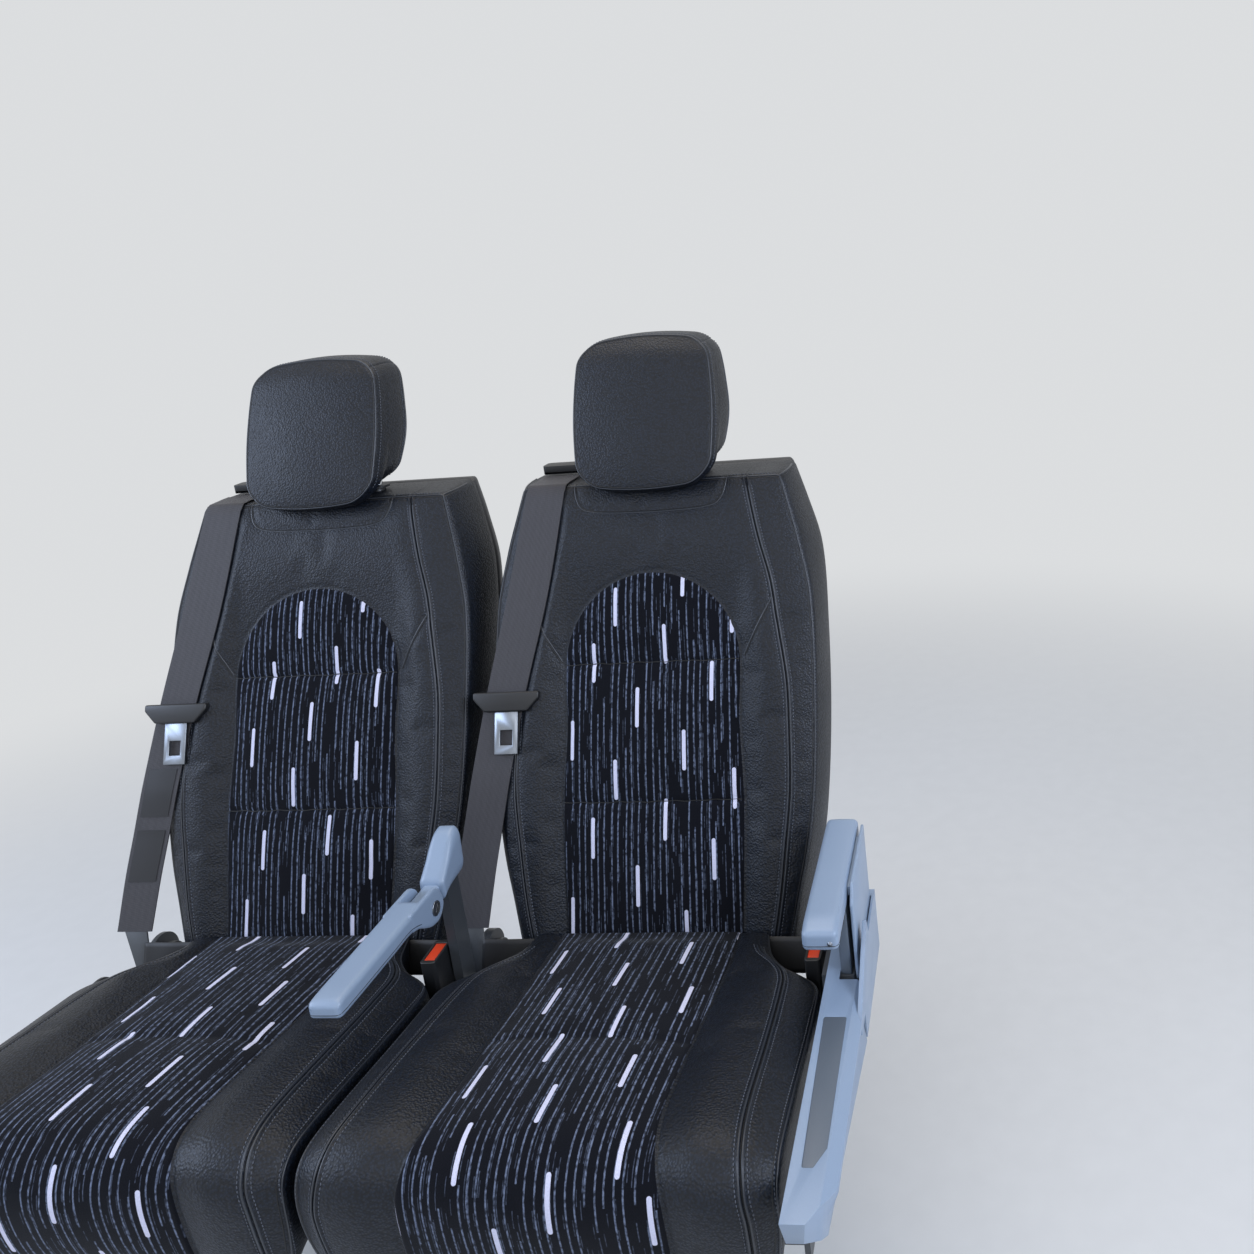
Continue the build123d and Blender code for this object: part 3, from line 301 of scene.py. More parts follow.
def emboss(tree, shader, *layers):
    """Bump of one or more heights on a shader; each layer is a height, its strength and its depth in mm."""
    normal = None
    for height, strength, depth_mm in layers:
        inputs = {"Strength": strength, "Distance": depth_mm * MM, "Height": height}
        normal = add_node(tree, "ShaderNodeBump", inputs={**inputs, "Normal": normal} if normal else inputs).outputs[0]
    tree.links.new(normal, shader.inputs["Normal"])


def path_tree(name, sockets):
    """Geometry node tree with named inputs, and its first and last node."""
    tree = bpy.data.node_groups.new(name, "GeometryNodeTree")
    tree.interface.new_socket(name="Geometry", in_out="INPUT", socket_type="NodeSocketGeometry")
    for label, kind, default in sockets:
        socket = tree.interface.new_socket(name=label, in_out="INPUT", socket_type=f"NodeSocket{kind}")
        if default is not None:
            socket.default_value = default
    tree.interface.new_socket(name="Geometry", in_out="OUTPUT", socket_type="NodeSocketGeometry")
    return tree, add_node(tree, "NodeGroupInput").outputs, add_node(tree, "NodeGroupOutput")


def finish_tree(tree, shape, material, end):
    """End a tree in Realize Instances and Set Material."""
    real = add_node(tree, "GeometryNodeRealizeInstances", inputs={"Geometry": shape})
    smooth = add_node(tree, "GeometryNodeSetShadeSmooth", inputs={"Geometry": real.outputs[0]})
    set_material = add_node(tree, "GeometryNodeSetMaterial",
                            inputs={"Geometry": smooth.outputs[0], "Material": material})
    tree.links.new(set_material.outputs[0], end.inputs[0])
    return tree


def stitch_tree():
    """Thread stitches along paths, one every pitch."""
    tree, given, end = path_tree("Stitch row", (
        ("Pitch", "Float", 0.004), ("Length", "Float", 0.003), ("Radius", "Float", 0.0005),
        ("Material", "Material", None)))
    curve = add_node(tree, "GeometryNodeMeshToCurve", inputs={"Mesh": given["Geometry"]})
    spaced = add_node(tree, "GeometryNodeResampleCurve", {"mode": "LENGTH"},
                      {"Curve": curve.outputs[0], "Length": given["Pitch"]})
    bead = add_node(tree, "GeometryNodeMeshUVSphere", inputs={"Segments": 6, "Rings": 4, "Radius": given["Radius"]})
    stretch = maths(tree, "MULTIPLY", maths(tree, "DIVIDE", given["Length"], given["Radius"]), 0.5)
    scale = add_node(tree, "ShaderNodeCombineXYZ", inputs={0: 1.0, 1: 1.0, 2: stretch})
    tangent = add_node(tree, "GeometryNodeInputTangent")
    turn = add_node(tree, "FunctionNodeAlignRotationToVector", {"axis": "Z"}, {"Vector": tangent.outputs[0]})
    placed = add_node(tree, "GeometryNodeInstanceOnPoints", inputs={
        "Points": spaced.outputs[0], "Instance": bead.outputs[0], "Rotation": turn.outputs[0],
        "Scale": scale.outputs[0]})
    return finish_tree(tree, placed.outputs[0], given["Material"], end)


def tube_tree():
    """Round cord along paths, closed at its ends."""
    tree, given, end = path_tree("Round cord", (
        ("Radius", "Float", 0.001), ("Sides", "Int", 6), ("Step", "Float", 0.004), ("Material", "Material", None)))
    curve = add_node(tree, "GeometryNodeMeshToCurve", inputs={"Mesh": given["Geometry"]})
    spaced = add_node(tree, "GeometryNodeResampleCurve", {"mode": "LENGTH"},
                      {"Curve": curve.outputs[0], "Length": given["Step"]})
    ring = add_node(tree, "GeometryNodeCurvePrimitiveCircle",
                    inputs={"Resolution": given["Sides"], "Radius": given["Radius"]})
    cord = add_node(tree, "GeometryNodeCurveToMesh",
                    inputs={"Curve": spaced.outputs[0], "Profile Curve": ring.outputs[0], "Fill Caps": True})
    return finish_tree(tree, cord.outputs[0], given["Material"], end)


def bolt_tree():
    """Hexagon head on a washer at every point, facing along the point's own direction."""
    tree, given, end = path_tree("Hexagon bolts", (
        ("Radius", "Float", 0.008), ("Height", "Float", 0.006), ("Material", "Material", None)))
    head = add_node(tree, "GeometryNodeMeshCylinder",
                    inputs={"Vertices": 6, "Radius": given["Radius"], "Depth": given["Height"]})
    lift = maths(tree, "MULTIPLY", given["Height"], 0.5)
    up = add_node(tree, "ShaderNodeCombineXYZ", inputs={2: lift})
    raised = add_node(tree, "GeometryNodeTransform", inputs={"Geometry": head.outputs[0], "Translation": up.outputs[0]})
    wide = maths(tree, "MULTIPLY", given["Radius"], 1.35)
    washer = add_node(tree, "GeometryNodeMeshCylinder", inputs={"Vertices": 20, "Radius": wide, "Depth": lift})
    both = add_node(tree, "GeometryNodeJoinGeometry")
    tree.links.new(washer.outputs[0], both.inputs[0])
    tree.links.new(raised.outputs[0], both.inputs[0])
    facing = add_node(tree, "GeometryNodeInputNamedAttribute", {"data_type": "FLOAT_VECTOR"}, {"Name": "facing"})
    turn = add_node(tree, "FunctionNodeAlignRotationToVector", {"axis": "Z"}, {"Vector": facing.outputs[0]})
    points = add_node(tree, "GeometryNodeMeshToPoints", inputs={"Mesh": given["Geometry"]})
    placed = add_node(tree, "GeometryNodeInstanceOnPoints", inputs={
        "Points": points.outputs[0], "Instance": both.outputs[0], "Rotation": turn.outputs[0]})
    return finish_tree(tree, placed.outputs[0], given["Material"], end)


TREES = {}


def grown(name, points, edges, builder, values, facing=None):
    """Plain mesh that a node tree grows on points and paths, in millimetres."""
    if builder not in TREES:
        TREES[builder] = builder()
    tree = TREES[builder]
    made = new_piece(name, points, [], values["Material"], edges=edges)
    if facing is not None:
        facing_data = made.data.attributes.new("facing", "FLOAT_VECTOR", "POINT")
        facing_data.data.foreach_set("vector", np.asarray(facing, float).ravel())
    modifier = made.modifiers.new(tree.name, "NODES")
    modifier.node_group = tree
    for item in tree.interface.items_tree:
        if item.in_out == "INPUT" and item.name in values:
            modifier[item.identifier] = values[item.name]
    return settle(made)


def joined_paths(paths):
    """Points and edges of open paths, in one pair of lists."""
    points, edges, start = [], [], 0
    for path in paths:
        points += [tuple(p) for p in path]
        edges += [(start + i, start + i + 1) for i in range(len(path) - 1)]
        start += len(path)
    return points, edges


SKINS, EDGES, SWELL = {}, {}, {}       # finished covers, their edge paths, and how far their cloth swells
LAY_REACH = 160                        # how far a path's point may travel until it meets its cover


def lay(skin, starts, direction, lift):
    """Path that follows a finished cover: each start is moved along its direction until it meets the cover."""
    laid = []
    for start, way in zip(starts, np.broadcast_to(direction, np.shape(starts))):
        way = way / np.linalg.norm(way)
        hit = SKINS[skin].ray_cast(Vector(start), Vector(way), LAY_REACH)[0]
        if hit is not None:
            laid.append(np.array(hit) - way * lift)
    return laid


# Finishes
def new_material(name):
    """Material with a shader, and its tree."""
    made = bpy.data.materials.new(name)
    made.use_nodes = True
    tree = made.node_tree
    return made, tree, tree.nodes["Principled BSDF"]


def place_of(tree, scale_mm, stretch=(1, 1, 1)):
    """Object coordinates scaled so that one unit is this many millimetres, stretched along the axes."""
    where = add_node(tree, "ShaderNodeTexCoord").outputs["Object"]
    size = [factor / (scale_mm * MM) for factor in stretch]
    return add_node(tree, "ShaderNodeMapping", inputs={"Vector": where, "Scale": size}).outputs[0]


def vary(tree, target, value, low, high):
    """Drive a number socket by a texture value, between two ends."""
    spread = add_node(tree, "ShaderNodeMapRange", inputs={"Value": value, "To Min": low, "To Max": high})
    tree.links.new(spread.outputs[0], target)


def tint(tree, target, value, first, second):
    """Drive a colour socket by a texture value, between two colours."""
    mixed = blended(tree, value, first, second)
    tree.links.new(mixed, target)
    return mixed


def darker(colour, factor):
    """Colour scaled by a factor."""
    return tuple(c * factor for c in colour[:3])


def vinyl(name, colour):
    """Coated fabric, embossed: blue-black with a pebble grain, painted shade in its valleys, and a soft gloss that is
    worn in broad patches.
    """
    made, tree, shader = new_material(name)
    # The emboss is about 1.2 mm; it is drawn at 2.6 mm, so that it shows at the photograph's distance
    pebbles = add_node(tree, "ShaderNodeTexVoronoi", {"feature": "SMOOTH_F1"}, {
        "Vector": place_of(tree, 2.6), "Scale": 1.0, "Smoothness": 0.35, "Randomness": 1.0}).outputs["Distance"]
    creases = noise(tree, place_of(tree, 6), 4.0, Distortion=1.4)
    patches = noise(tree, place_of(tree, 70), 3.0)
    emboss(tree, shader, (maths(tree, "SUBTRACT", 1.0, pebbles), 1.0, 0.55), (creases, 0.8, 0.6))
    # Painted shade: the colour darkens from the pebbles' tops into the valleys between them
    valley = add_node(tree, "ShaderNodeMapRange", inputs={
        "Value": pebbles, "From Min": 0.15, "From Max": 0.65}).outputs[0]
    tint(tree, shader.inputs["Base Color"], valley, darker(colour, 1.45), darker(colour, 0.35))
    gloss = add_node(tree, "ShaderNodeMath", {"operation": "MULTIPLY_ADD"}, {0: valley, 1: 0.5, 2: patches})
    vary(tree, shader.inputs["Roughness"], gloss.outputs[0], 0.3, 0.5)
    shader.inputs["Specular IOR Level"].default_value = 0.34
    return made


def striped_velour(name, ground, line, dash):
    """Woven flat velour: navy-black pile with thin broken grey lines and pale dashes that run along the seat."""
    made, tree, shader = new_material(name)
    spot = add_node(tree, "ShaderNodeUVMap", {"uv_map": "Cloth"}).outputs[0]
    parts = add_node(tree, "ShaderNodeSeparateXYZ", inputs={0: spot}).outputs

    def calc(operation, first, second=0.0):
        return maths(tree, operation, first, second)

    def chance(seed, *places):
        """Fixed random value of a column, or of a place in it."""
        at = {axis: place for axis, place in zip((0, 1), places)}
        return add_node(tree, "ShaderNodeTexWhiteNoise", {"noise_dimensions": "3D"}, {
            "Vector": add_node(tree, "ShaderNodeCombineXYZ", inputs={**at, 2: float(seed)}).outputs[0]}).outputs[0]

    def columns(pitch_mm, sway_mm, seed):
        """Column number and the distance in mm from its line, which stands a little off the even pitch."""
        across = calc("DIVIDE", parts[0], pitch_mm * MM)
        column = calc("FLOOR", across)
        off = calc("MULTIPLY", calc("SUBTRACT", chance(seed, column), 0.5), sway_mm)
        middle = calc("MULTIPLY", calc("SUBTRACT", calc("FRACT", across), 0.5), pitch_mm)
        return column, calc("SUBTRACT", middle, off)

    def edge(value, limit_mm, soft_mm):
        """One inside a limit, falling to nothing just outside it."""
        return add_node(tree, "ShaderNodeMapRange", {"interpolation_type": "SMOOTHSTEP"}, {
            "Value": value, "From Min": limit_mm + soft_mm, "From Max": limit_mm - soft_mm}).outputs[0]

    def lines(pitch_mm, sway_mm, width_mm, length_mm, share, seed):
        """Mask of thin lines, broken into uneven lengths."""
        column, side = columns(pitch_mm, sway_mm, seed)
        start = calc("MULTIPLY", chance(seed + 1, column), 9.0)
        along = calc("ADD", calc("DIVIDE", parts[1], length_mm * MM), start)
        uneven = calc("ADD", along, calc("MULTIPLY", chance(seed + 2, column, calc("FLOOR", along)), 0.3))
        tone = chance(seed + 3, column, calc("FLOOR", uneven))
        bar = edge(calc("ABSOLUTE", side), width_mm / 2, 0.35)
        return calc("MULTIPLY", bar, calc("LESS_THAN", tone, share))

    def dashes(pitch_mm, sway_mm, width_mm, length_mm, every_mm, seed):
        """Mask of bars with round ends: one in each column's repeat, each column a golden share further on."""
        column, side = columns(pitch_mm, sway_mm, seed)
        start = calc("ADD", calc("MULTIPLY", column, 0.618), calc("MULTIPLY", chance(seed + 1, column), 0.1))
        along = calc("ADD", calc("DIVIDE", parts[1], every_mm * MM), start)
        run = calc("MULTIPLY", calc("ABSOLUTE", calc("SUBTRACT", calc("FRACT", along), 0.5)), every_mm)
        tip = calc("MAXIMUM", calc("SUBTRACT", run, (length_mm - width_mm) / 2), 0.0)
        reach = calc("SQRT", calc("ADD", calc("MULTIPLY", side, side), calc("MULTIPLY", tip, tip)))
        return edge(reach, width_mm / 2, 0.3)

    # Main lines stand 9.3 mm apart, with thinner, shorter ones between; dashes are 5 mm wide and 52 mm long
    pile = noise(tree, spot, 3.0, Scale=520.0)
    streak = add_node(tree, "ShaderNodeMapRange", inputs={
        "Value": noise(tree, scaled(tree, spot, (300, 210, 1)), 3.0), "From Min": 0.36, "From Max": 0.6,
        "To Min": 0.12}).outputs[0]
    base = blended(tree, pile, darker(ground, 0.5), darker(ground, 1.6))
    for size, share, seed, weight in (((9.3, 2.6, 1.0, 23), 0.3, 11, 0.5), ((4.65, 2.2, 0.9, 15), 0.3, 21, 0.34),
                                      ((9.3, 2.6, 1.7, 58), 0.82, 31, 0.9)):
        base = blended(tree, calc("MULTIPLY", calc("MULTIPLY", lines(*size, share, seed), weight), streak), base, line)
    pale = calc("MULTIPLY", dashes(30.5, 13.0, 5.0, 52.0, 226.0, 5), calc("ADD", calc("MULTIPLY", pile, 0.3), 0.8))
    tree.links.new(blended(tree, pale, base, dash), shader.inputs["Base Color"])
    # Pile loops are about 0.9 mm apart, drawn as a weave of that spacing; the dashes stand a little proud
    emboss(tree, shader, (noise(tree, spot, 1.0, Scale=1100.0), 0.6, 0.4), (pale, 0.6, 0.5))
    shader.inputs["Roughness"].default_value = 0.95
    shader.inputs["Specular IOR Level"].default_value = 0.15
    shader.inputs["Sheen Weight"].default_value = 0.08
    shader.inputs["Sheen Roughness"].default_value = 0.4
    return made


def polyester_webbing(name, colour):
    """Woven polyester webbing: grey-brown ribs along the strap, dark between them, with a fine twill."""
    made, tree, shader = new_material(name)
    spot = add_node(tree, "ShaderNodeUVMap", {"uv_map": "Cloth"}).outputs[0]
    # Yarns of the ribs stand about 1.7 mm apart across the strap
    yarns = add_node(tree, "ShaderNodeTexWave", {"wave_type": "BANDS", "bands_direction": "X"}, {
        "Vector": scaled(tree, spot, (590, 590, 590)), "Scale": 0.314, "Distortion": 0.25}).outputs[1]
    twill = add_node(tree, "ShaderNodeTexWave", {"wave_type": "BANDS"}, {
        "Vector": scaled(tree, spot, (620, 620, 620), (0, 0, math.radians(35))), "Scale": 0.31,
        "Distortion": 0.4}).outputs[1]
    tone = maths(tree, "MULTIPLY", yarns, noise(tree, scaled(tree, spot, (900, 60, 1)), 3.0))
    tint(tree, shader.inputs["Base Color"], tone, darker(colour, 0.6), darker(colour, 1.75))
    emboss(tree, shader, (twill, 0.5, 0.2), (yarns, 0.7, 0.4))
    shader.inputs["Roughness"].default_value = 0.58
    shader.inputs["Sheen Weight"].default_value = 0.1
    return made


def moulded_plastic(name, colour, roughness, grain_mm=0.9, depth_mm=0.03):
    """Injection-moulded plastic: even colour with a fine spark-eroded grain and slightly polished patches."""
    made, tree, shader = new_material(name)
    speck = noise(tree, place_of(tree, grain_mm), 3.0)
    emboss(tree, shader, (speck, 0.5, depth_mm))
    tint(tree, shader.inputs["Base Color"], speck, darker(colour, 0.93), darker(colour, 1.07))
    vary(tree, shader.inputs["Roughness"], noise(tree, place_of(tree, 45), 2.0), roughness - 0.06, roughness + 0.08)
    shader.inputs["IOR"].default_value = 1.52
    return made


def powder_coat(name, colour):
    """Powder-coated steel: satin paint with the slight orange peel of baked powder."""
    made, tree, shader = new_material(name)
    peel = noise(tree, place_of(tree, 2.5), 1.5)
    emboss(tree, shader, (peel, 0.6, 0.06))
    tint(tree, shader.inputs["Base Color"], peel, darker(colour, 0.85), darker(colour, 1.12))
    vary(tree, shader.inputs["Roughness"], peel, 0.38, 0.5)
    return made


def bare_metal(name, colour, roughness, brush_mm):
    """Plated or polished steel: grey metal with fine drawn streaks."""
    made, tree, shader = new_material(name)
    streaks = noise(tree, place_of(tree, brush_mm, (1, 1, 0.08)), 3.0)
    emboss(tree, shader, (streaks, 0.4, 0.01))
    tint(tree, shader.inputs["Base Color"], streaks, darker(colour, 0.85), darker(colour, 1.1))
    vary(tree, shader.inputs["Roughness"], streaks, roughness * 0.8, roughness * 1.3)
    shader.inputs["Metallic"].default_value = 1.0
    return made


def spun_thread(name, colour):
    """Bonded nylon thread: dark twisted strand with a dull shine."""
    made, tree, shader = new_material(name)
    twist = noise(tree, place_of(tree, 0.5), 1.0)
    emboss(tree, shader, (twist, 0.6, 0.08))
    tint(tree, shader.inputs["Base Color"], twist, darker(colour, 0.6), darker(colour, 1.4))
    shader.inputs["Roughness"].default_value = 0.55
    return made


def woven_label(name, colour):
    """Printed belt label: smooth black satin tape with nothing on it."""
    made, tree, shader = new_material(name)
    speck = noise(tree, place_of(tree, 0.8), 2.0)
    emboss(tree, shader, (speck, 0.4, 0.03))
    tint(tree, shader.inputs["Base Color"], speck, darker(colour, 0.8), darker(colour, 1.3))
    shader.inputs["Roughness"].default_value = 0.34
    return made


def finish(name):
    """Material of this name, made at its first use."""
    if name in bpy.data.materials:
        return bpy.data.materials[name]
    tones = bpy.context.scene.seat_colours
    recipes = {
        "embossed_black_vinyl": lambda n: vinyl(n, tones.vinyl),
        "striped_navy_velour": lambda n: striped_velour(n, tones.velour, tones.line, tones.dash),
        "polyester_webbing": lambda n: polyester_webbing(n, tones.webbing),
        "silver_grey_abs": lambda n: moulded_plastic(n, tones.light_plastic, 0.36),
        "mid_grey_abs": lambda n: moulded_plastic(n, tones.mid_plastic, 0.42),
        "black_abs": lambda n: moulded_plastic(n, linear("#17181a"), 0.45),
        "charcoal_polypropylene": lambda n: moulded_plastic(n, linear("#2b2d31"), 0.5, 1.4, 0.08),
        "orange_red_abs": lambda n: moulded_plastic(n, tones.button, 0.35),
        "powder_coated_steel": lambda n: powder_coat(n, linear("#3d4043")),
        "zinc_plated_steel": lambda n: bare_metal(n, linear("#8d939b"), 0.36, 0.6),
        "polished_steel": lambda n: bare_metal(n, linear("#c9ccd0"), 0.14, 0.4),
        # Painted highlight: the seam lips' vinyl is lighter than the covers' vinyl, standing in for the shine on a
        # raised lip; it is also smoother
        "smooth_black_vinyl": lambda n: moulded_plastic(n, linear("#262a31"), 0.34, 3.0, 0.1),
        "bonded_nylon_thread": lambda n: spun_thread(n, linear("#4c515b")),
        # Painted shade: a black cord laid in each seam's fold stands for the shade in the gap between the panels
        "black_seam_binding": lambda n: spun_thread(n, linear("#050608")),
        "black_polypropylene_cloth": lambda n: spun_thread(n, linear("#0d0e11")),
        "elastic_cord": lambda n: spun_thread(n, linear("#202226")),
        "satin_label_tape": lambda n: woven_label(n, linear("#15161a")),
    }
    return recipes[name](name)


# Covers under pressure
SWELL_FRAMES, SWELL_PRESSURE, SWELL_STIFF, SWELL_BEND, SWELL_SHRINK = 20, 4.0, 30.0, 12.0, -0.002
SWELL_SINK, SWELL_CAP = -1.5, 5.0      # how far a cover may sink and rise between its seams
SWELL_DEPTHS = (0, 9, 30, 60)          # layers of the simulated block, before its full depth
HOLD_WIDTH, SEWN_HOLD, CROSS_HOLD = 4, 0.8, 0.6   # how wide a seam holds the cover, and how firmly its lesser seams do
BAND_SWELL = 2.5                       # how far a side band swells between its seams


def inflate(us, vs, depth, radius, place, held):
    """How far a padded cover swells between its seams, in millimetres: a coarse copy is simulated as cloth."""
    points, faces, number = block(us, vs, np.array([*SWELL_DEPTHS, depth]), radius, place)
    test = new_piece("pressure_test", points, faces, finish("embossed_black_vinyl"))
    front = number[:, :, 0]
    grip = np.ones(len(points))
    grip[front[1:-1, 1:-1]] = held[1:-1, 1:-1]
    group = test.vertex_groups.new(name="Seams")
    grip = grip.round(1)
    for level in np.unique(grip[grip > 0]):
        group.add(np.flatnonzero(grip == level).tolist(), float(level), "REPLACE")
    cloth = test.modifiers.new("Pressure", "CLOTH")
    settings = cloth.settings
    settings.use_pressure, settings.uniform_pressure_force = True, SWELL_PRESSURE
    settings.vertex_group_mass, settings.pin_stiffness = "Seams", 1.0
    settings.effector_weights.gravity = 0.0
    settings.quality, settings.mass, settings.shrink_min = 5, 0.3, SWELL_SHRINK
    settings.tension_stiffness = settings.compression_stiffness = SWELL_STIFF
    settings.bending_stiffness = SWELL_BEND
    cloth.collision_settings.use_collision = False
    cloth.point_cache.frame_start, cloth.point_cache.frame_end = 1, SWELL_FRAMES
    for step in range(1, SWELL_FRAMES + 1):
        bpy.context.scene.frame_set(step)
    outwards, moved = np.empty(len(points) * 3), np.empty(len(points) * 3)
    test.data.vertex_normals.foreach_get("vector", outwards)
    swollen = test.evaluated_get(bpy.context.evaluated_depsgraph_get()).data
    swollen.vertices.foreach_get("co", moved)
    travel = np.sum((moved.reshape(-1, 3) / MM - points) * outwards.reshape(-1, 3), axis=1)[front]
    bpy.data.meshes.remove(test.data)
    bpy.context.scene.frame_set(1)
    return np.clip(travel, SWELL_SINK, SWELL_CAP)


def band_swell(u, span, depth):
    """How far a side band swells sideways, at a share of its depth."""
    return BAND_SWELL * fade(np.abs(u), span - 8, span) * np.sin(math.pi * depth)


def coarse_grid(span, lines, length, rows):
    """Columns, which include the seam lines, and rows of a simulated cover, and the place of each crossing."""
    us = np.array(sorted({*np.linspace(-span, span, 69), *(way * line * span for way in (-1, 1) for line in lines)}))
    vs = np.linspace(0, length, rows)
    return us, vs, *np.meshgrid(us, vs, indexing="ij")


def read_table(table, us, vs, u, v):
    """Smooth value of a table between its columns and rows."""
    return np.sum((weights(u, us) @ table) * weights(v, vs), axis=-1)


# Back cover. X tables are half-widths along the lean, seen from the front.
BACK_LOW, BACK_TOP, BACK_THICK, BACK_ROUND = -109, 525, 88, 7
BACK_LENGTH = BACK_TOP - BACK_LOW
BACK_SIDE = ((-109, 172), (-24, 190), (37, 204), (111, 214), (220, 219), (359, 218), (438, 203), (490, 190),
             (525, 181))
BACK_REAR_SIDE = ((-109, 186), (0, 207), (85, 220), (200, 228), (327, 229), (439, 224), (510, 204), (565, 184))
DOUBLE_SEAM = ((-109, 152), (-24, 168), (46, 177), (112, 184), (201, 185), (256, 183), (334, 172), (383, 165),
               (441, 150), (525, 133))
INSERT_SIDE = ((-109, 118), (-60, 119), (100, 124), (200, 120), (280, 122), (402, 112), (525, 103))
ARCH_AT, ARCH_R = 280, 122
BACK_LINES = (0.55, 0.83)              # where the insert's edge and the double seam lie between centre and side
BACK_SPAN = 226
BACK_CROWN_AT = (0, 0.3, 0.55, 0.69, 0.83, 1.0)
BACK_CROWN = (                         # along the lean, then how far behind the face the cover lies at those places
    (-109, 4, 4, 4, 2, 3, 8), (-60, 3, 3, 4, -3, -3, 6), (20, 1, 1, 3, -7, -6, 4), (100, -3, -2, 2, -8, -7, 4),
    (200, 1, 1, 3, -8, -7, 4), (330, 3, 3, 3, -8, -6, 4), (420, -3, -3, -4, -6, -5, 4), (490, -4, -4, -4, -4, -3, 4),
    (525, 0, 0, 0, 0, 1, 4))
PANEL_SEAMS = (100, 280)               # seams across the insert
PANEL_SWELL, PANEL_EDGE = 4.5, 26      # how far the insert swells between them, and how wide its edge falls off
SEAM_DIP, FOLD_DIP = 1.8, 1.1          # how deep the insert's seams and the vinyl's folds are drawn in
SLACK = 0.35                           # height of the covers' long, shallow folds
INSERT_PROUD, INSERT_TUCK, CLOTH_THICK = 0.9, 1.1, 1.6
INSERT_LOW = -76                       # where the back's insert goes down behind the cushion
COLLAR = ((-106, 527), (-103, 510), (-98, 497), (-88, 489), (-60, 485), (0, 483.5), (60, 485), (88, 489), (98, 497),
          (103, 510), (106, 527))
DIAGONAL = ((168, 358), (127, 284))
FOLD_LINES = (COLLAR, DIAGONAL, tuple((-x, up) for x, up in DIAGONAL))
WEBBING = (                            # along the lean, left edge, right edge
    (-55, -273, -222), (35, -263, -210), (230, -230, -176), (378, -199, -142), (525, -172, -118), (575, -165, -112))
SEAM_CLUSTER = (-8, -6.5, -5.5, -4.5, -3.5, -2.6, -1.8, -1.1, -0.5, 0, 0.5, 1.1, 1.8, 2.6, 3.5, 4.5, 5.5, 6.5, 8)


def cross_places(lines, span, clusters=SEAM_CLUSTER, step=4.2):
    """Places across a cover from side to side, crowded at its seam lines and its edges."""
    special = [lines[1] * span + d for d in clusters]
    special += [lines[0] * span + d for d in (-5, -2.5, -1, 0, 1, 2.5, 5)] + [span - d for d in (1.5, 3.5, 6)]
    plain = [d for d in np.arange(0, span, step) if min(abs(d - s) for s in special) > step * 0.6]
    half = sorted({round(float(d), 3) for d in special + plain + [0.0, float(span)]})
    return np.array([-d for d in reversed(half) if d > 0] + half)


def spread(u, edges, lines):
    """Signed X of a place between the centre (0) and the sides (-1, 1), through the seam lines at that height."""
    size = np.abs(u)
    inner, seam, side = edges
    first, second = lines
    x = np.where(size < first, size / first * inner, np.where(
        size < second, inner + (size - first) / (second - first) * (seam - inner),
        seam + (size - second) / (1 - second) * (side - seam)))
    return np.sign(u) * x


def gather(x, edges, lines):
    """Inverse of spread: how far a signed X lies between the centre and the side."""
    size = np.abs(x)
    inner, seam, side = edges
    first, second = lines
    return np.clip(np.where(size < inner, size / inner * first, np.where(
        size < seam, first + (size - inner) / (seam - inner) * (second - first),
        second + (size - seam) / (side - seam) * (1 - second))), 0, 1)


def seam_relief(distance):
    """Height of a double-stitched seam: a gap between two lips, with a dip under each row of stitches."""
    return (1.5 * hump(distance, 1.1) - 1.2 * hump(np.abs(distance) - 2.8, 1.5)
            + 0.7 * hump(np.abs(distance) - 5.6, 1.5))


def insert_half(along):
    """Half-width of the back's cloth insert, whose top is a round arch."""
    arch = np.sqrt(np.clip(ARCH_R**2 - (along - ARCH_AT) ** 2, 0, None))
    return np.where(along > ARCH_AT, arch, through(along, INSERT_SIDE))


def insert_gap(x, along):
    """How far a place lies outside (positive) or inside the edge of the back's cloth insert."""
    level = np.abs(x) - through(along, INSERT_SIDE)
    arch = np.hypot(x, along - ARCH_AT) - ARCH_R
    return np.where(along > ARCH_AT, arch, level)


def webbing_edges(along):
    """X of the belt webbing's two edges, this far along the lean."""
    return np.moveaxis(many(along, WEBBING), -1, 0)


def back_edges(along):
    """Half-widths of the back's insert, double seam and side, this far along the lean."""
    return through(along, INSERT_SIDE), through(along, DOUBLE_SEAM), through(along, BACK_SIDE)


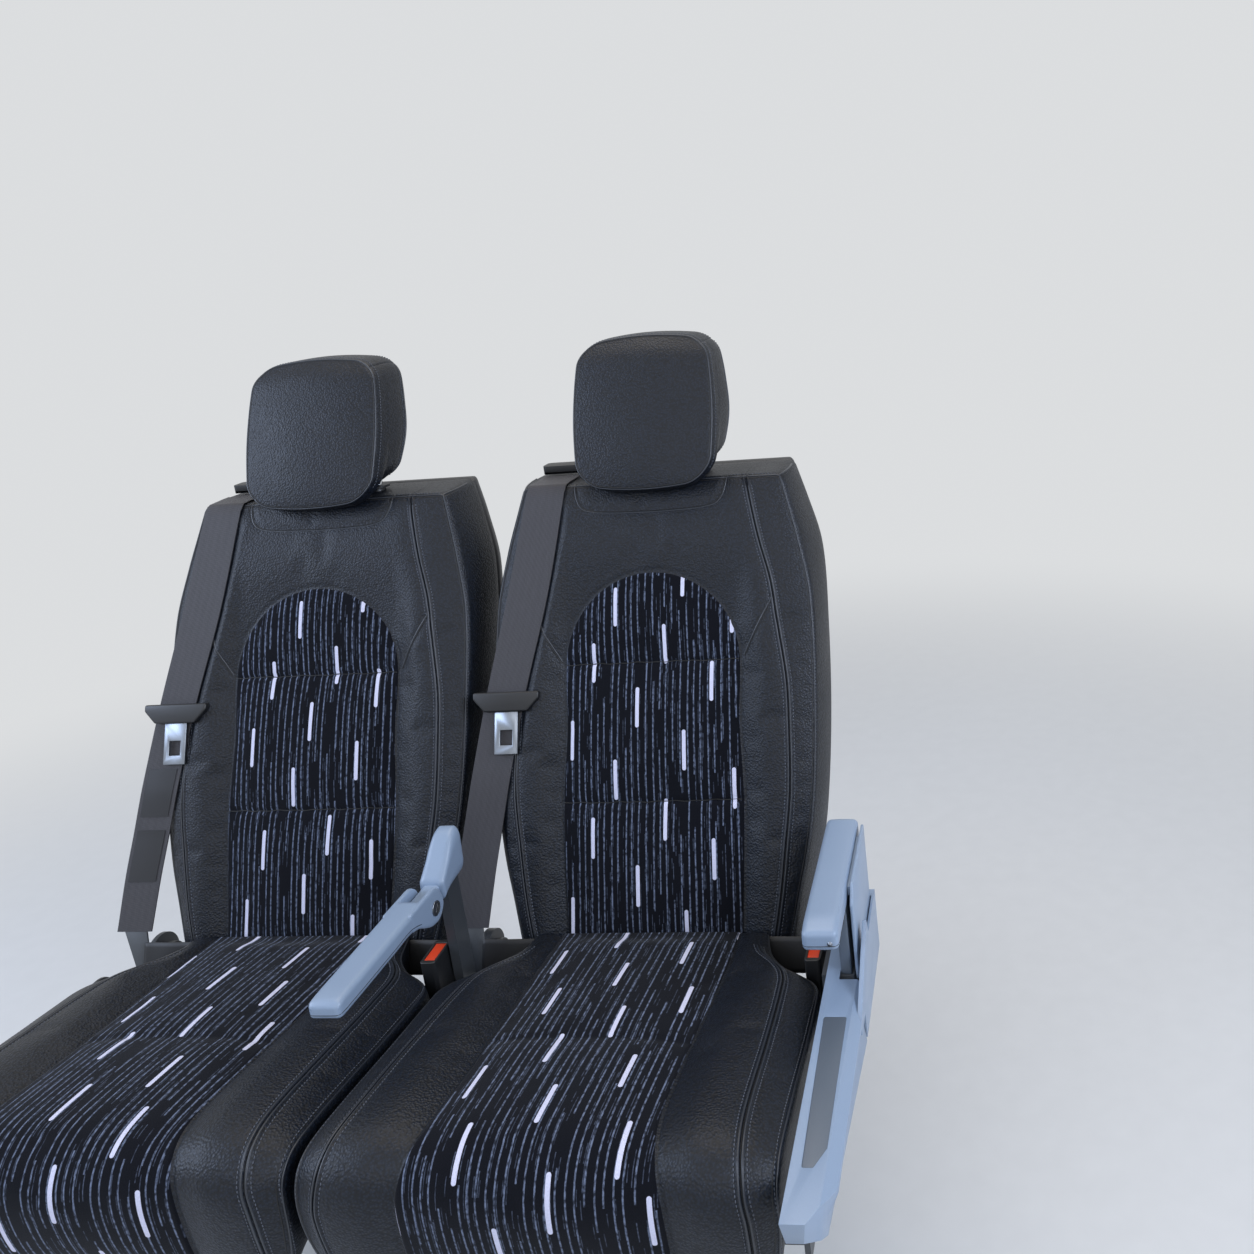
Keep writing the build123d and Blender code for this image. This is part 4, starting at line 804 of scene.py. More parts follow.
def back_cover(x, along, belt=True):
    """How far behind the back's face the cover lies, at X from the seat's middle and a place along the lean."""
    x, along = np.asarray(x, float), np.asarray(along, float)
    edges = back_edges(along)
    at = weights(gather(x, edges, BACK_LINES), BACK_CROWN_AT)
    rows = many(along, BACK_CROWN)
    behind = np.sum(at * rows, axis=-1)
    behind = behind + seam_relief(np.abs(x) - edges[1])
    gap = insert_gap(x, along)
    inside = fade(-gap, 0, PANEL_EDGE)
    low, high = PANEL_SEAMS
    for start, end in ((-90, low), (low, high), (high, ARCH_AT + ARCH_R)):
        t = np.clip((along - start) / (end - start), 0, 1)
        behind = behind - PANEL_SWELL * np.sqrt(np.sin(math.pi * t)) * inside
    behind = behind + SEAM_DIP * hump(gap, 3.2)
    for seam in PANEL_SEAMS:
        pucker = 1 + 0.3 * np.sin(x / 4.1 + seam)
        behind = behind + SEAM_DIP * hump(along - seam, 3.0) * fade(-gap, -2, 8)
        behind = behind + 0.5 * pucker * hump(along - seam, 9) * fade(-gap, -2, 10) * np.sin(x / 2.9 + 0.02 * x * x / 9)
    for line in FOLD_LINES:
        behind = behind + FOLD_DIP * hump(away(x, along, line), 4.5)
    if "back" in SWELL:
        u = np.sign(x) * gather(x, edges, BACK_LINES) * BACK_SPAN
        behind = behind - read_table(*SWELL["back"], u, along - BACK_LOW)
    # Slack in the cover: long, shallow folds that differ from place to place
    behind = behind + SLACK * np.sin(x / 23 + along / 61) * np.sin(along / 37 - x / 71 + 1.3)
    if belt:
        left, right = webbing_edges(along)
        pressed = fade(x, left - 16, left) * fade(-x, -right - 12, -right) * fade(along, -60, 0)
        behind = behind + pressed * np.clip(-3.2 - behind, 0, None)
    return behind


def level_top(behind, front=BACK_TOP):
    """Place along the lean where the level top lies, this far behind the face."""
    return front + behind * LEAN_TAN


def back_place(seat_x):
    """Function that puts a place of the back's block on the leaning back."""
    def place(u, v, w):
        depth = w / BACK_THICK
        along = BACK_LOW + v / BACK_LENGTH * (level_top(w) - BACK_LOW)
        inner, seam, front_side = back_edges(along)
        side = front_side * (1 - depth**0.8) + through(along, BACK_REAR_SIDE) * depth**0.8
        x = spread(u / BACK_SPAN, (inner, seam, side), BACK_LINES)
        front = back_cover(np.clip(np.abs(x), 0, front_side) * np.sign(x), along)
        behind = w + front * np.clip(1 - depth, 0, 1) ** 2 + np.clip(-89 - along, 0, 20) * (1 - depth)
        return lean_point(seat_x + x + np.sign(x) * band_swell(u, BACK_SPAN, depth), behind, along)
    return place


def sheet_on(name, rows, half, lift_place, skin_gap, material, seat_shift):
    """Thin closed cloth panel with its own flat coordinates, lying just proud of a cover and tucked at its edge."""
    across = np.concatenate((np.linspace(-1, -0.94, 5), np.linspace(-0.9, 0.9, 46), np.linspace(0.94, 1, 5)))
    grid_u, grid_v = np.meshgrid(across, rows, indexing="ij")
    x = grid_u * half(grid_v)
    points = lift_place(x, grid_v, skin_gap(x, grid_v))
    faces = quads(np.arange(x.size).reshape(x.shape))[:, [0, 3, 2, 1]].tolist()
    piece = new_piece(name, points.reshape(-1, 3), faces, material)
    lay_flat(piece, np.stack((x + seat_shift, grid_v), -1))
    return piece


def thicken(piece, thickness, away_from):
    """Close a cloth panel with a thin wall on its hidden side."""
    work = bmesh.new()
    work.from_mesh(piece.data)
    bmesh.ops.remove_doubles(work, verts=work.verts, dist=0.05 * MM)
    work.to_mesh(piece.data)
    facing = np.mean([list(f.normal) for f in work.faces], axis=0)
    work.free()
    if np.dot(facing, away_from) < 0:
        piece.data.flip_normals()
    wall = piece.modifiers.new("Wall", "SOLIDIFY")
    wall.thickness, wall.offset, wall.use_even_offset = thickness * MM, -1, False
    settle(piece)
    piece.data.shade_smooth()
    piece.data.set_sharp_from_angle(angle=math.radians(60))
    return piece


def back_swell():
    """Simulate the back's cover, held along its seams."""
    us, vs, u, v = coarse_grid(BACK_SPAN, BACK_LINES, BACK_LENGTH, 97)
    along = v + BACK_LOW
    edges = back_edges(along)
    x = spread(u / BACK_SPAN, edges, BACK_LINES)
    held = np.maximum(hump(np.abs(x) - edges[1], HOLD_WIDTH), SEWN_HOLD * hump(insert_gap(x, along), HOLD_WIDTH))
    for seam in PANEL_SEAMS:
        held = np.maximum(held, SEWN_HOLD * hump(along - seam, HOLD_WIDTH) * (insert_gap(x, along) < 0))
    for line in FOLD_LINES:
        held = np.maximum(held, hump(away(x, along, line), HOLD_WIDTH))
    table = inflate(us, vs, BACK_THICK, BACK_ROUND, back_place(0), held)
    return table * fade(BACK_SPAN - np.abs(u), 0, 14) * fade(v, 0, 14) * fade(BACK_TOP - along, 0, 14), us, vs


class SEAT_OT_backs(bpy.types.Operator):
    """Make the padded back covers and their cloth inserts."""
    bl_idname = "seat.backs"
    bl_label = "Backs"

    def execute(self, context):
        rows = set(np.arange(0, BACK_LENGTH, 3.3).round(2)) | {float(BACK_LENGTH)}
        for seam in PANEL_SEAMS:
            rows |= {round(seam - BACK_LOW + d, 2) for d in (-3, -1.5, 0, 1.5, 3)}
        rows = np.array(sorted(rows))
        SWELL["back"] = back_swell()
        for side in SIDES:
            body, seat_x = f"back_{side}", SEAT_X[side]
            points, faces, number = block(cross_places(BACK_LINES, BACK_SPAN), rows,
                                          np.array([0, 2.5, 5.5, 9, 16, 28, 44, 60, 72, 80, BACK_THICK]), BACK_ROUND,
                                          back_place(seat_x), far_rows=True)
            pad = new_piece(f"back_cover_{side}", points, faces, finish("embossed_black_vinyl"))
            carry(pad, body, "leather", f"back_pad_{side}")
            SKINS[body] = BVHTree.FromPolygons(points.tolist(), faces)
            EDGES[body] = (points[np.concatenate((number[0, :, 0], number[1:-1, -1, 0], number[-1, ::-1, 0]))],
                           points[number[0, -1, :-3]], points[number[-1, -1, :-3]])

            arch = ARCH_AT + ARCH_R * np.sin(np.linspace(0, math.pi / 2, 34)[1:])
            panel_rows = np.concatenate((np.arange(INSERT_LOW, ARCH_AT - 1, 4.0), [ARCH_AT], arch))

            def gap(x, along):
                edge = fade(-insert_gap(x, along), 0, 5)
                return back_cover(x, along, belt=False) - INSERT_PROUD * edge + INSERT_TUCK * (1 - edge)

            cloth = sheet_on(f"back_insert_{side}", panel_rows, insert_half,
                             lambda x, along, behind: lean_point(seat_x + x, behind, along), gap,
                             finish("striped_navy_velour"), seat_x * 1.37)
            thicken(cloth, CLOTH_THICK, -BEHIND)
            carry(cloth, body, "leather")
        return {"FINISHED"}


# Cushion. A path over its top and down its front, and one along its underside (Y, Z).
CUSHION_TOP = ((171, 438), (110, 445.5), (40, 454), (-40, 464), (-110, 474), (-160, 480.5), (-195, 483), (-215, 480),
               (-230, 470.5), (-239, 456), (-242, 438), (-241.5, 415), (-239, 387), (-235, 362), (-230, 347))
CUSHION_UNDER = ((0, 143, 368), (0.3, 40, 368), (0.6, -90, 368), (0.78, -180, 368), (0.86, -197, 367),
                 (0.93, -198, 356), (1, -199, 346))
CUSHION_LENGTH = float(sum(math.dist(a, b) for a, b in zip(CUSHION_TOP, CUSHION_TOP[1:])))
CUSHION_DEEP, CUSHION_ROUND = 75, 9
CUSHION_SIDE = ((0, 152), (28, 158), (52, 167), (80, 190), (93, 211), (106, 227), (125, 234), (300, 235), (420, 235),
                (470, 234), (505, 229), (534, 222))
CUSHION_SEAM = ((0, 136), (52, 152), (80, 174), (100, 186), (125, 192), (240, 196), (350, 197), (420, 204), (450, 208),
                (534, 206))
CUSHION_INSERT = ((0, 118), (60, 120), (125, 119), (200, 116), (300, 114.5), (360, 117), (400, 124), (440, 131),
                  (534, 132))
CUSHION_TABLED = 534                   # length along the top in the tables of its widths and crown
CUSHION_LINES = (0.5, 0.83)
CUSHION_SPAN = 236
CUSHION_CROWN_AT = (0, 0.3, 0.5, 0.66, 0.83, 1.0)
CUSHION_CROWN = (
    (0, 0, 0, 0, 0, 0, -3), (60, 1, 1, -1, 3, 1, -7), (150, 4, 3, -1, 8, 4, -11), (260, 5, 4, -1, 9, 5, -12),
    (350, 4, 3, -1, 8, 4, -12), (430, 4, 3, -1, 6, 3, -11), (534, 0, 0, -2, 1, -1, -7))
CROSS_SEAM = 232


def cushion_path(v):
    """Place and outward direction on the cushion's side profile, this far along its top from the rear."""
    steps = np.concatenate(([0], np.cumsum([math.dist(a, b) for a, b in zip(CUSHION_TOP, CUSHION_TOP[1:])])))
    table = np.array(CUSHION_TOP, float)
    spot = weights(v, steps) @ table
    ahead = weights(np.asarray(v) + 1.5, steps) @ table - weights(np.asarray(v) - 1.5, steps) @ table
    ahead = ahead / np.maximum(np.linalg.norm(ahead, axis=-1, keepdims=True), 1e-9)
    return spot, np.stack((ahead[..., 1], -ahead[..., 0]), -1)


def cushion_edges(v):
    """Half-widths of the cushion's insert, double seam and side, this far from its rear."""
    v = v * CUSHION_TABLED / CUSHION_LENGTH
    return through(v, CUSHION_INSERT), through(v, CUSHION_SEAM), through(v, CUSHION_SIDE)


def cushion_cover(x, v):
    """How far the cushion's cover stands out from its profile."""
    edges = cushion_edges(v)
    at = weights(gather(x, edges, CUSHION_LINES), CUSHION_CROWN_AT)
    rows = many(v * CUSHION_TABLED / CUSHION_LENGTH, CUSHION_CROWN)
    out = np.sum(at * rows, axis=-1) - seam_relief(np.abs(x) - edges[1]) * fade(v, 20, 60)
    inside = fade(edges[0] - np.abs(x), -2, 6)
    out = out - 1.6 * hump(np.abs(x) - edges[0], 3.0) - 1.0 * hump(v - CROSS_SEAM, 3.2) * inside
    if "cushion" in SWELL:
        u = np.sign(x) * gather(x, edges, CUSHION_LINES) * CUSHION_SPAN
        out = out + read_table(*SWELL["cushion"], u, v)
    out = out + SLACK * np.sin(x / 27 - v / 53) * np.sin(v / 41 + x / 67 + 0.7)
    return out * fade(v, -8, 22)


def cushion_point(x, v, out, under=0.0):
    """Point of the cushion at signed X, this far along its top, out from its profile, and towards its underside."""
    spot, way = cushion_path(v)
    low = many(v / CUSHION_LENGTH, CUSHION_UNDER)
    under = np.asarray(under, float)[..., None]
    flat = spot * (1 - under) + low * under + way * np.asarray(out)[..., None]
    return np.concatenate((np.asarray(x, float)[..., None], flat), -1)


def cushion_place(seat_x):
    """Function that puts a place of the cushion's block on its profile."""
    def place(u, v, w):
        depth = w / CUSHION_DEEP
        inner, seam, side = cushion_edges(v)
        x = spread(u / CUSHION_SPAN, (inner, seam, side * (1 - 0.035 * depth)), CUSHION_LINES)
        out = cushion_cover(x, v) * np.clip(1 - depth, 0, 1) ** 2
        return cushion_point(seat_x + x + np.sign(x) * band_swell(u, CUSHION_SPAN, depth), v, out, depth)
    return place


def cushion_swell():
    """Simulate the cushion's cover, held along its seams."""
    us, vs, u, v = coarse_grid(CUSHION_SPAN, CUSHION_LINES, CUSHION_LENGTH, 81)
    edges = cushion_edges(v)
    x = np.abs(spread(u / CUSHION_SPAN, edges, CUSHION_LINES))
    held = np.maximum(hump(x - edges[1], HOLD_WIDTH), SEWN_HOLD * hump(x - edges[0], HOLD_WIDTH))
    held = np.maximum(held, CROSS_HOLD * hump(v - CROSS_SEAM, HOLD_WIDTH) * (x < edges[0]))
    table = inflate(us, vs, CUSHION_DEEP, CUSHION_ROUND, cushion_place(0), held)
    return table * fade(CUSHION_SPAN - np.abs(u), 0, 14) * fade(v, 10, 40) * fade(CUSHION_LENGTH - v, 0, 20), us, vs


# Closing cloth: from where it runs outwards, its low end along the lean, its width and its height
CLOSING_FROM, CLOSING_LOW, CLOSING_WIDE, CLOSING_TALL = 148, -112, 80, 44


def closing_place(seat_x, way):
    """Black closing cloth in a corner between the cushion and the back, as a thin block that leans with the back."""
    def place(u, v, w):
        return lean_point(seat_x + way * (CLOSING_FROM + u), -9 + w + 0.6 * np.sin(u / 9), CLOSING_LOW + v)
    return place


class SEAT_OT_cushions(bpy.types.Operator):
    """Make the padded seat cushions and their cloth inserts."""
    bl_idname = "seat.cushions"
    bl_label = "Cushions"

    def execute(self, context):
        rows = set(np.arange(0, CUSHION_LENGTH - 1, 3.6).round(2)) | {round(CUSHION_LENGTH, 3)}
        rows = np.array(sorted(rows | {round(CROSS_SEAM + d, 2) for d in (-1.7, 0, 1.7)}))
        SWELL["cushion"] = cushion_swell()
        for side in SIDES:
            seat_x = SEAT_X[side]
            points, faces, number = block(cross_places(CUSHION_LINES, CUSHION_SPAN), rows,
                                          np.array([0, 3, 6, 10, 18, 32, 48, 60, 68, CUSHION_DEEP]), CUSHION_ROUND,
                                          cushion_place(seat_x), far_rows=True)
            pad = new_piece(f"cushion_cover_{side}", points, faces, finish("embossed_black_vinyl"))
            carry(pad, "root", "leather", f"cushion_{side}")
            skin = f"cushion_{side}"
            SKINS[skin] = BVHTree.FromPolygons(points.tolist(), faces)
            EDGES[skin] = (points[number[0, :, 0]], points[number[-1, :, 0]])

            def gap(x, v):
                edge = fade(cushion_edges(v)[0] - np.abs(x), 0, 5)
                return cushion_cover(x, v) + INSERT_PROUD * edge - INSERT_TUCK * (1 - edge)

            for way, end in ((-1, "left"), (1, "right")):
                points, faces, number = block(np.linspace(0, CLOSING_WIDE, 20), np.linspace(0, CLOSING_TALL, 8),
                                              np.array([0, 1, 2]), 0.9, closing_place(seat_x, way))
                carry(new_piece(f"closing_cloth_{side}_{end}", points, faces, finish("black_polypropylene_cloth")),
                      "root", "leather")

            cloth = sheet_on(f"cushion_insert_{side}", np.arange(6, CUSHION_LENGTH - 4, 4.0),
                             lambda v: cushion_edges(v)[0],
                             lambda x, v, out: cushion_point(seat_x + x, v, out), gap,
                             finish("striped_navy_velour"), seat_x * 2.11 + 31)
            thicken(cloth, CLOTH_THICK, (0, -0.5, 1))
            carry(cloth, "root", "leather")
        return {"FINISHED"}


# Headrest, in the back's own frame. Both tables are widths along the lean.
HEAD_FRONT, HEAD_DEEP, HEAD_TALL, HEAD_SPAN, HEAD_ROUND = -30, 105, 215, 100, 5
HEAD_HALF, HEAD_LOW, HEAD_HIGH, HEAD_REAR_LOW = 95, 508, 724, 538
HEAD_SIDE = ((508, 90), (540, 94), (600, 97), (650, 96), (690, 93), (723, 89))
HEAD_FLARE = ((508, 0), (540, 9), (590, 15), (650, 10), (700, 5), (723, 4))
HEAD_CORNERS = (34, 32)                # radius of the face's lower and upper corners


def round_corners(across, up, wide, tall, low_corner, high_corner):
    """Place in a rectangle, -1 to 1 each way, moved so that every ring round its middle has round corners."""
    ring = np.maximum(np.maximum(np.abs(across), np.abs(up)), 1e-9)
    corner = np.where(up > 0, high_corner, low_corner)
    x, y = np.abs(across) / ring * wide, np.abs(up) / ring * tall
    over_x, over_y = np.clip(x - wide + corner, 0, None), np.clip(y - tall + corner, 0, None)
    pull = np.where((over_x > 0) & (over_y > 0), corner / np.maximum(np.hypot(over_x, over_y), 1e-9), 1)
    x, y = x - over_x * (1 - pull), y - over_y * (1 - pull)
    return np.sign(across) * x / wide * ring, np.sign(up) * y / tall * ring


def head_place(seat_x):
    """Function that puts a place of the headrest's block on its posts."""
    def place(u, v, w):
        depth, behind = w / HEAD_DEEP, HEAD_FRONT + w
        size, up = round_corners(u / HEAD_SPAN, 2 * v / HEAD_TALL - 1, HEAD_HALF, HEAD_TALL / 2, *HEAD_CORNERS)
        shrink = 1 - 0.36 * np.clip((depth - 0.45) / 0.55, 0, 1) ** 2.2
        size, up = size * shrink, up * shrink
        t = (up + 1) / 2
        over = fade(behind, -10, -3)
        low = (HEAD_LOW + 10 * size**2) * (1 - over) + level_top(behind, HEAD_REAR_LOW) * over
        high = HEAD_HIGH + w * LEAN_TAN - 10 * size**2 - 7 * depth**2
        along = low + t * (high - low)
        face = HEAD_LOW + t * HEAD_TALL
        x = size * (through(face, HEAD_SIDE) + through(face, HEAD_FLARE) * depth**0.7)
        swell = np.clip(1 - size**2, 0, 1) * np.clip(1 - (2 * t - 1) ** 4, 0, 1)
        behind = behind - 8 * swell * (1 - depth) ** 2 + 7 * swell * depth**2
        behind = behind + 6 * fade(t, 0.8, 1.0) ** 2 * (1 - depth) ** 2
        return lean_point(seat_x + x, behind + 0.25 * np.sin(x / 19 + along / 31), along)
    return place


class SEAT_OT_headrests(bpy.types.Operator):
    """Make the padded headrests."""
    bl_idname = "seat.headrests"
    bl_label = "Headrests"

    def execute(self, context):
        across = np.array([-HEAD_SPAN, -98.5, -96, -93, *np.arange(-89, 90, 4.24), 93, 96, 98.5, HEAD_SPAN])
        up = np.array([0, 1.5, 4, 7, *np.arange(11, HEAD_TALL - 8, 4.5), HEAD_TALL - 7, HEAD_TALL - 4, HEAD_TALL - 1.5,
                       HEAD_TALL])
        deep = np.array([0, 1.5, 4, 7, 11, 15, 19, 22, 25, 28, 34, 42, 52, 64, 76, 88, 95, 100, HEAD_DEEP])
        for side in SIDES:
            body = f"headrest_{side}"
            points, faces, number = block(across, up, deep, HEAD_ROUND, head_place(SEAT_X[side]))
            pad = new_piece(f"headrest_cover_{side}", points, faces, finish("embossed_black_vinyl"))
            smooth = pad.modifiers.new("Round", "SUBSURF")
            smooth.levels = smooth.render_levels = 1
            settle(pad)
            carry(pad, body, "leather", f"headrest_{side}")
            SKINS[body] = BVHTree.FromPolygons(points.tolist(), faces)
            front = number[:, :, 0]
            EDGES[body] = points[np.concatenate((front[0], front[1:-1, -1], front[-1, ::-1], front[-2:0:-1, 0]))]
        return {"FINISHED"}


STITCH_SIDE, LIP_SIDE = 6, 2.2         # from a double seam's middle to its stitches and to its lips
ABOVE, SUNK, LIP_SUNK, FOLD_SUNK, EDGE_SUNK = 0.1, -0.1, -0.75, -0.6, -0.2   # lift of threads, folds and lips
START = 60                             # a path starts this far ahead of the back's face and is laid from there


def beside(path, centre, distance, facing):
    """Path moved sideways over a face, towards a centre, or away from it below zero."""
    side = np.cross(np.gradient(path, axis=0), facing)
    side /= np.maximum(np.linalg.norm(side, axis=1, keepdims=True), 1e-9)
    return path + side * np.sign(np.sum(side * (centre - path), axis=1, keepdims=True)) * distance


class SEAT_OT_seams(bpy.types.Operator):
    """Make the seams: the fold's dark line, a black cord of painted shade, the raised lip beside it, drawn lighter as a
    painted highlight, and every row of stitches.
    """
    bl_idname = "seat.seams"
    bl_label = "Seams and stitches"

    def execute(self, context):
        for side in SIDES:
            self.back_seams(SEAT_X[side], f"back_{side}")
            self.cushion_seams(SEAT_X[side], f"cushion_{side}")
            self.headrest_seams(SEAT_X[side], f"headrest_{side}")
        return {"FINISHED"}

    def back_seams(self, seat_x, skin):
        def on_face(x, up, lift):
            return lay(skin, lean_point(seat_x + np.asarray(x), -START, np.asarray(up)), BEHIND, lift)

        along = np.arange(-90, 512, 4.0)
        seam = through(along, DOUBLE_SEAM)
        border, *corners = EDGES[skin]
        middle = lean_point(seat_x, 0, 200)
        rows, lips = [], [border, *corners]
        gaps = [lay(skin, beside(border, middle, 2.6, BEHIND) - BEHIND * START, BEHIND, EDGE_SUNK)]
        for way in (-1, 1):
            gaps.append(on_face(way * seam, along, SUNK))
            lips += [on_face(way * (seam + shift), along, LIP_SUNK) for shift in (-LIP_SIDE, LIP_SIDE)]
            rows += [on_face(way * (seam + shift), along, ABOVE) for shift in (-STITCH_SIDE, STITCH_SIDE)]
            line = np.linspace(DIAGONAL[0], DIAGONAL[1], 20)
            gaps.append(on_face(way * line[:, 0], line[:, 1], SUNK))
            lips.append(on_face(way * (line[:, 0] - 1.6), line[:, 1] + 0.9, FOLD_SUNK))
            rows.append(lay(skin, lean_point(seat_x + way * 300, 6.5, along), (-way, 0, 0), ABOVE))
            top = np.linspace(112, 172, 18) * way
            rows.append(lay(skin, lean_point(seat_x + top, 7, level_top(7)) + np.array([0, 0, 50]), (0, 0, -1),
                            ABOVE))
        collar = np.array(COLLAR, float)
        collar = weights(np.linspace(0, len(collar) - 1, 90), np.arange(len(collar))) @ collar
        gaps.append(on_face(collar[:, 0], collar[:, 1], SUNK))
        above = lean_point(seat_x, 0, 560)
        lifted = beside(lean_point(seat_x + collar[:, 0], 0, collar[:, 1]), above, -1.7, BEHIND)
        lips.append(lay(skin, lifted - BEHIND * START, BEHIND, FOLD_SUNK))
        for height in PANEL_SEAMS:
            half = float(insert_half(np.array(height))) - 3
            x = np.arange(-half, half, 3.0)
            gaps.append(on_face(x, height + 0.5 * np.sin(x / 4.1) + 0.4 * np.sin(x / 9.7 + height), 0.9))
        self.sew(skin, skin, rows, lips, gaps)

    def cushion_seams(self, seat_x, skin):
        along = np.arange(40, CUSHION_LENGTH - 6, 4.0)
        spot, way_out = cushion_path(along)
        directions = np.concatenate((np.zeros((len(along), 1)), way_out), -1)
        rows, lips, gaps = [], [*EDGES[skin]], []

        def on_top(x, lift):
            starts = np.concatenate(((seat_x + x)[:, None], spot), -1) + directions * 50
            return lay(skin, starts, -directions, lift)

        edges = cushion_edges(along)
        for way in (-1, 1):
            gaps += [on_top(way * edges[1], SUNK), on_top(way * (edges[2] - 5.5), EDGE_SUNK)]
            lips += [on_top(way * (edges[1] + shift), LIP_SUNK) for shift in (-LIP_SIDE, LIP_SIDE)]
            rows += [on_top(way * (edges[1] + shift), ABOVE) for shift in (-STITCH_SIDE, STITCH_SIDE)]
            band = np.concatenate((np.full((len(along), 1), seat_x + way * 320), spot - way_out * 10), -1)
            rows.append(lay(skin, band[16:], (-way, 0, 0), ABOVE))
        self.sew(skin, "root", rows, lips, gaps)

    def headrest_seams(self, seat_x, skin):
        border = EDGES[skin]
        centre = lean_point(seat_x, 20, 615)

        def on_band(depth, lift, low=-400):
            """Path round the side band, this far behind the face's edge, above a place counted from the centre."""
            ring = border + BEHIND * depth
            outwards = ring - centre
            outwards -= np.outer(outwards @ BEHIND, BEHIND)
            outwards /= np.linalg.norm(outwards, axis=1, keepdims=True)
            kept = (ring - centre) @ UP_LEAN > low
            return lay(skin, (ring + outwards * 50)[kept], -outwards[kept], lift)

        closed = np.concatenate((border, border[:1]))
        gap = lay(skin, beside(closed, centre, 1.9, BEHIND) - BEHIND * START, BEHIND, EDGE_SUNK)
        self.sew(skin, skin, [on_band(8, ABOVE, -80), on_band(58, ABOVE, -60)], [closed, on_band(64, -0.4, -60)],
                 [gap])

    def sew(self, name, body, rows, lips, gaps):
        """Stitches, lips and dark lines of one cover, each as one plain mesh; the dark lines are black cords of painted
        shade in the folds.
        """
        sizes = bpy.context.scene.seat_covers
        cord = {"Sides": 6, "Step": 0.004}
        for kind, paths, tree, values in (
                ("stitches", rows, stitch_tree, {
                    "Pitch": sizes.stitch_pitch, "Length": sizes.stitch_length, "Radius": sizes.thread_radius,
                    "Material": finish("bonded_nylon_thread")}),
                # The lips' lighter vinyl is a painted highlight
                ("seam_lips", lips, tube_tree, {**cord, "Radius": sizes.lip_radius,
                                                "Material": finish("smooth_black_vinyl")}),
                # The fold lines are black cords of painted shade
                ("seam_folds", gaps, tube_tree, {**cord, "Radius": sizes.fold_radius,
                                                 "Material": finish("black_seam_binding")})):
            made = grown(f"{kind}_{name}", *joined_paths([path for path in paths if len(path) > 2]), tree, values)
            carry(made, body, "leather")


def strap(name, normal, left, right, thickness, material, along, ribs=5):
    """Closed ribbed strap between two edge paths, with each row's outward direction and its length down the strap."""
    across = np.linspace(0, 1, 4 * ribs + 1)
    ridge = 0.22 * np.abs(np.sin(math.pi * across * ribs)) ** 0.7
    inner = left[:, None] * (1 - across[None, :, None]) + right[:, None] * across[None, :, None]
    outer = inner + normal[:, None] * (ridge[None, :, None] + thickness)
    points = np.concatenate((outer.reshape(-1, 3), inner.reshape(-1, 3)))
    front = np.arange(outer[..., 0].size).reshape(outer.shape[:2])
    back = front + front.size
    faces = quads(front).tolist() + [face[::-1] for face in quads(back).tolist()]
    for turn, ends in ((1, (front[:, 0], back[:, 0])), (-1, (front[:, -1], back[:, -1])),
                       (-1, (front[0], back[0])), (1, (front[-1], back[-1]))):
        upper, lower = ends
        wall = np.stack((upper[:-1], lower[:-1], lower[1:], upper[1:]), -1).tolist()
        faces += [face[::turn] for face in wall]
    piece = new_piece(name, points, outward(points, faces), material)
    width = np.linalg.norm(right[0] - left[0])
    flat = np.stack(np.broadcast_arrays(across[None] * width, np.asarray(along)[:, None]), -1)
    lay_flat(piece, np.concatenate((flat, flat)))
    piece.data.set_sharp_from_angle(angle=math.radians(50))
    return piece


STRAP_LOW, STRAP_BEND, STRAP_THICK, LABEL_IN, LABEL_THICK = -55, 517, 1.3, 6, 0.4


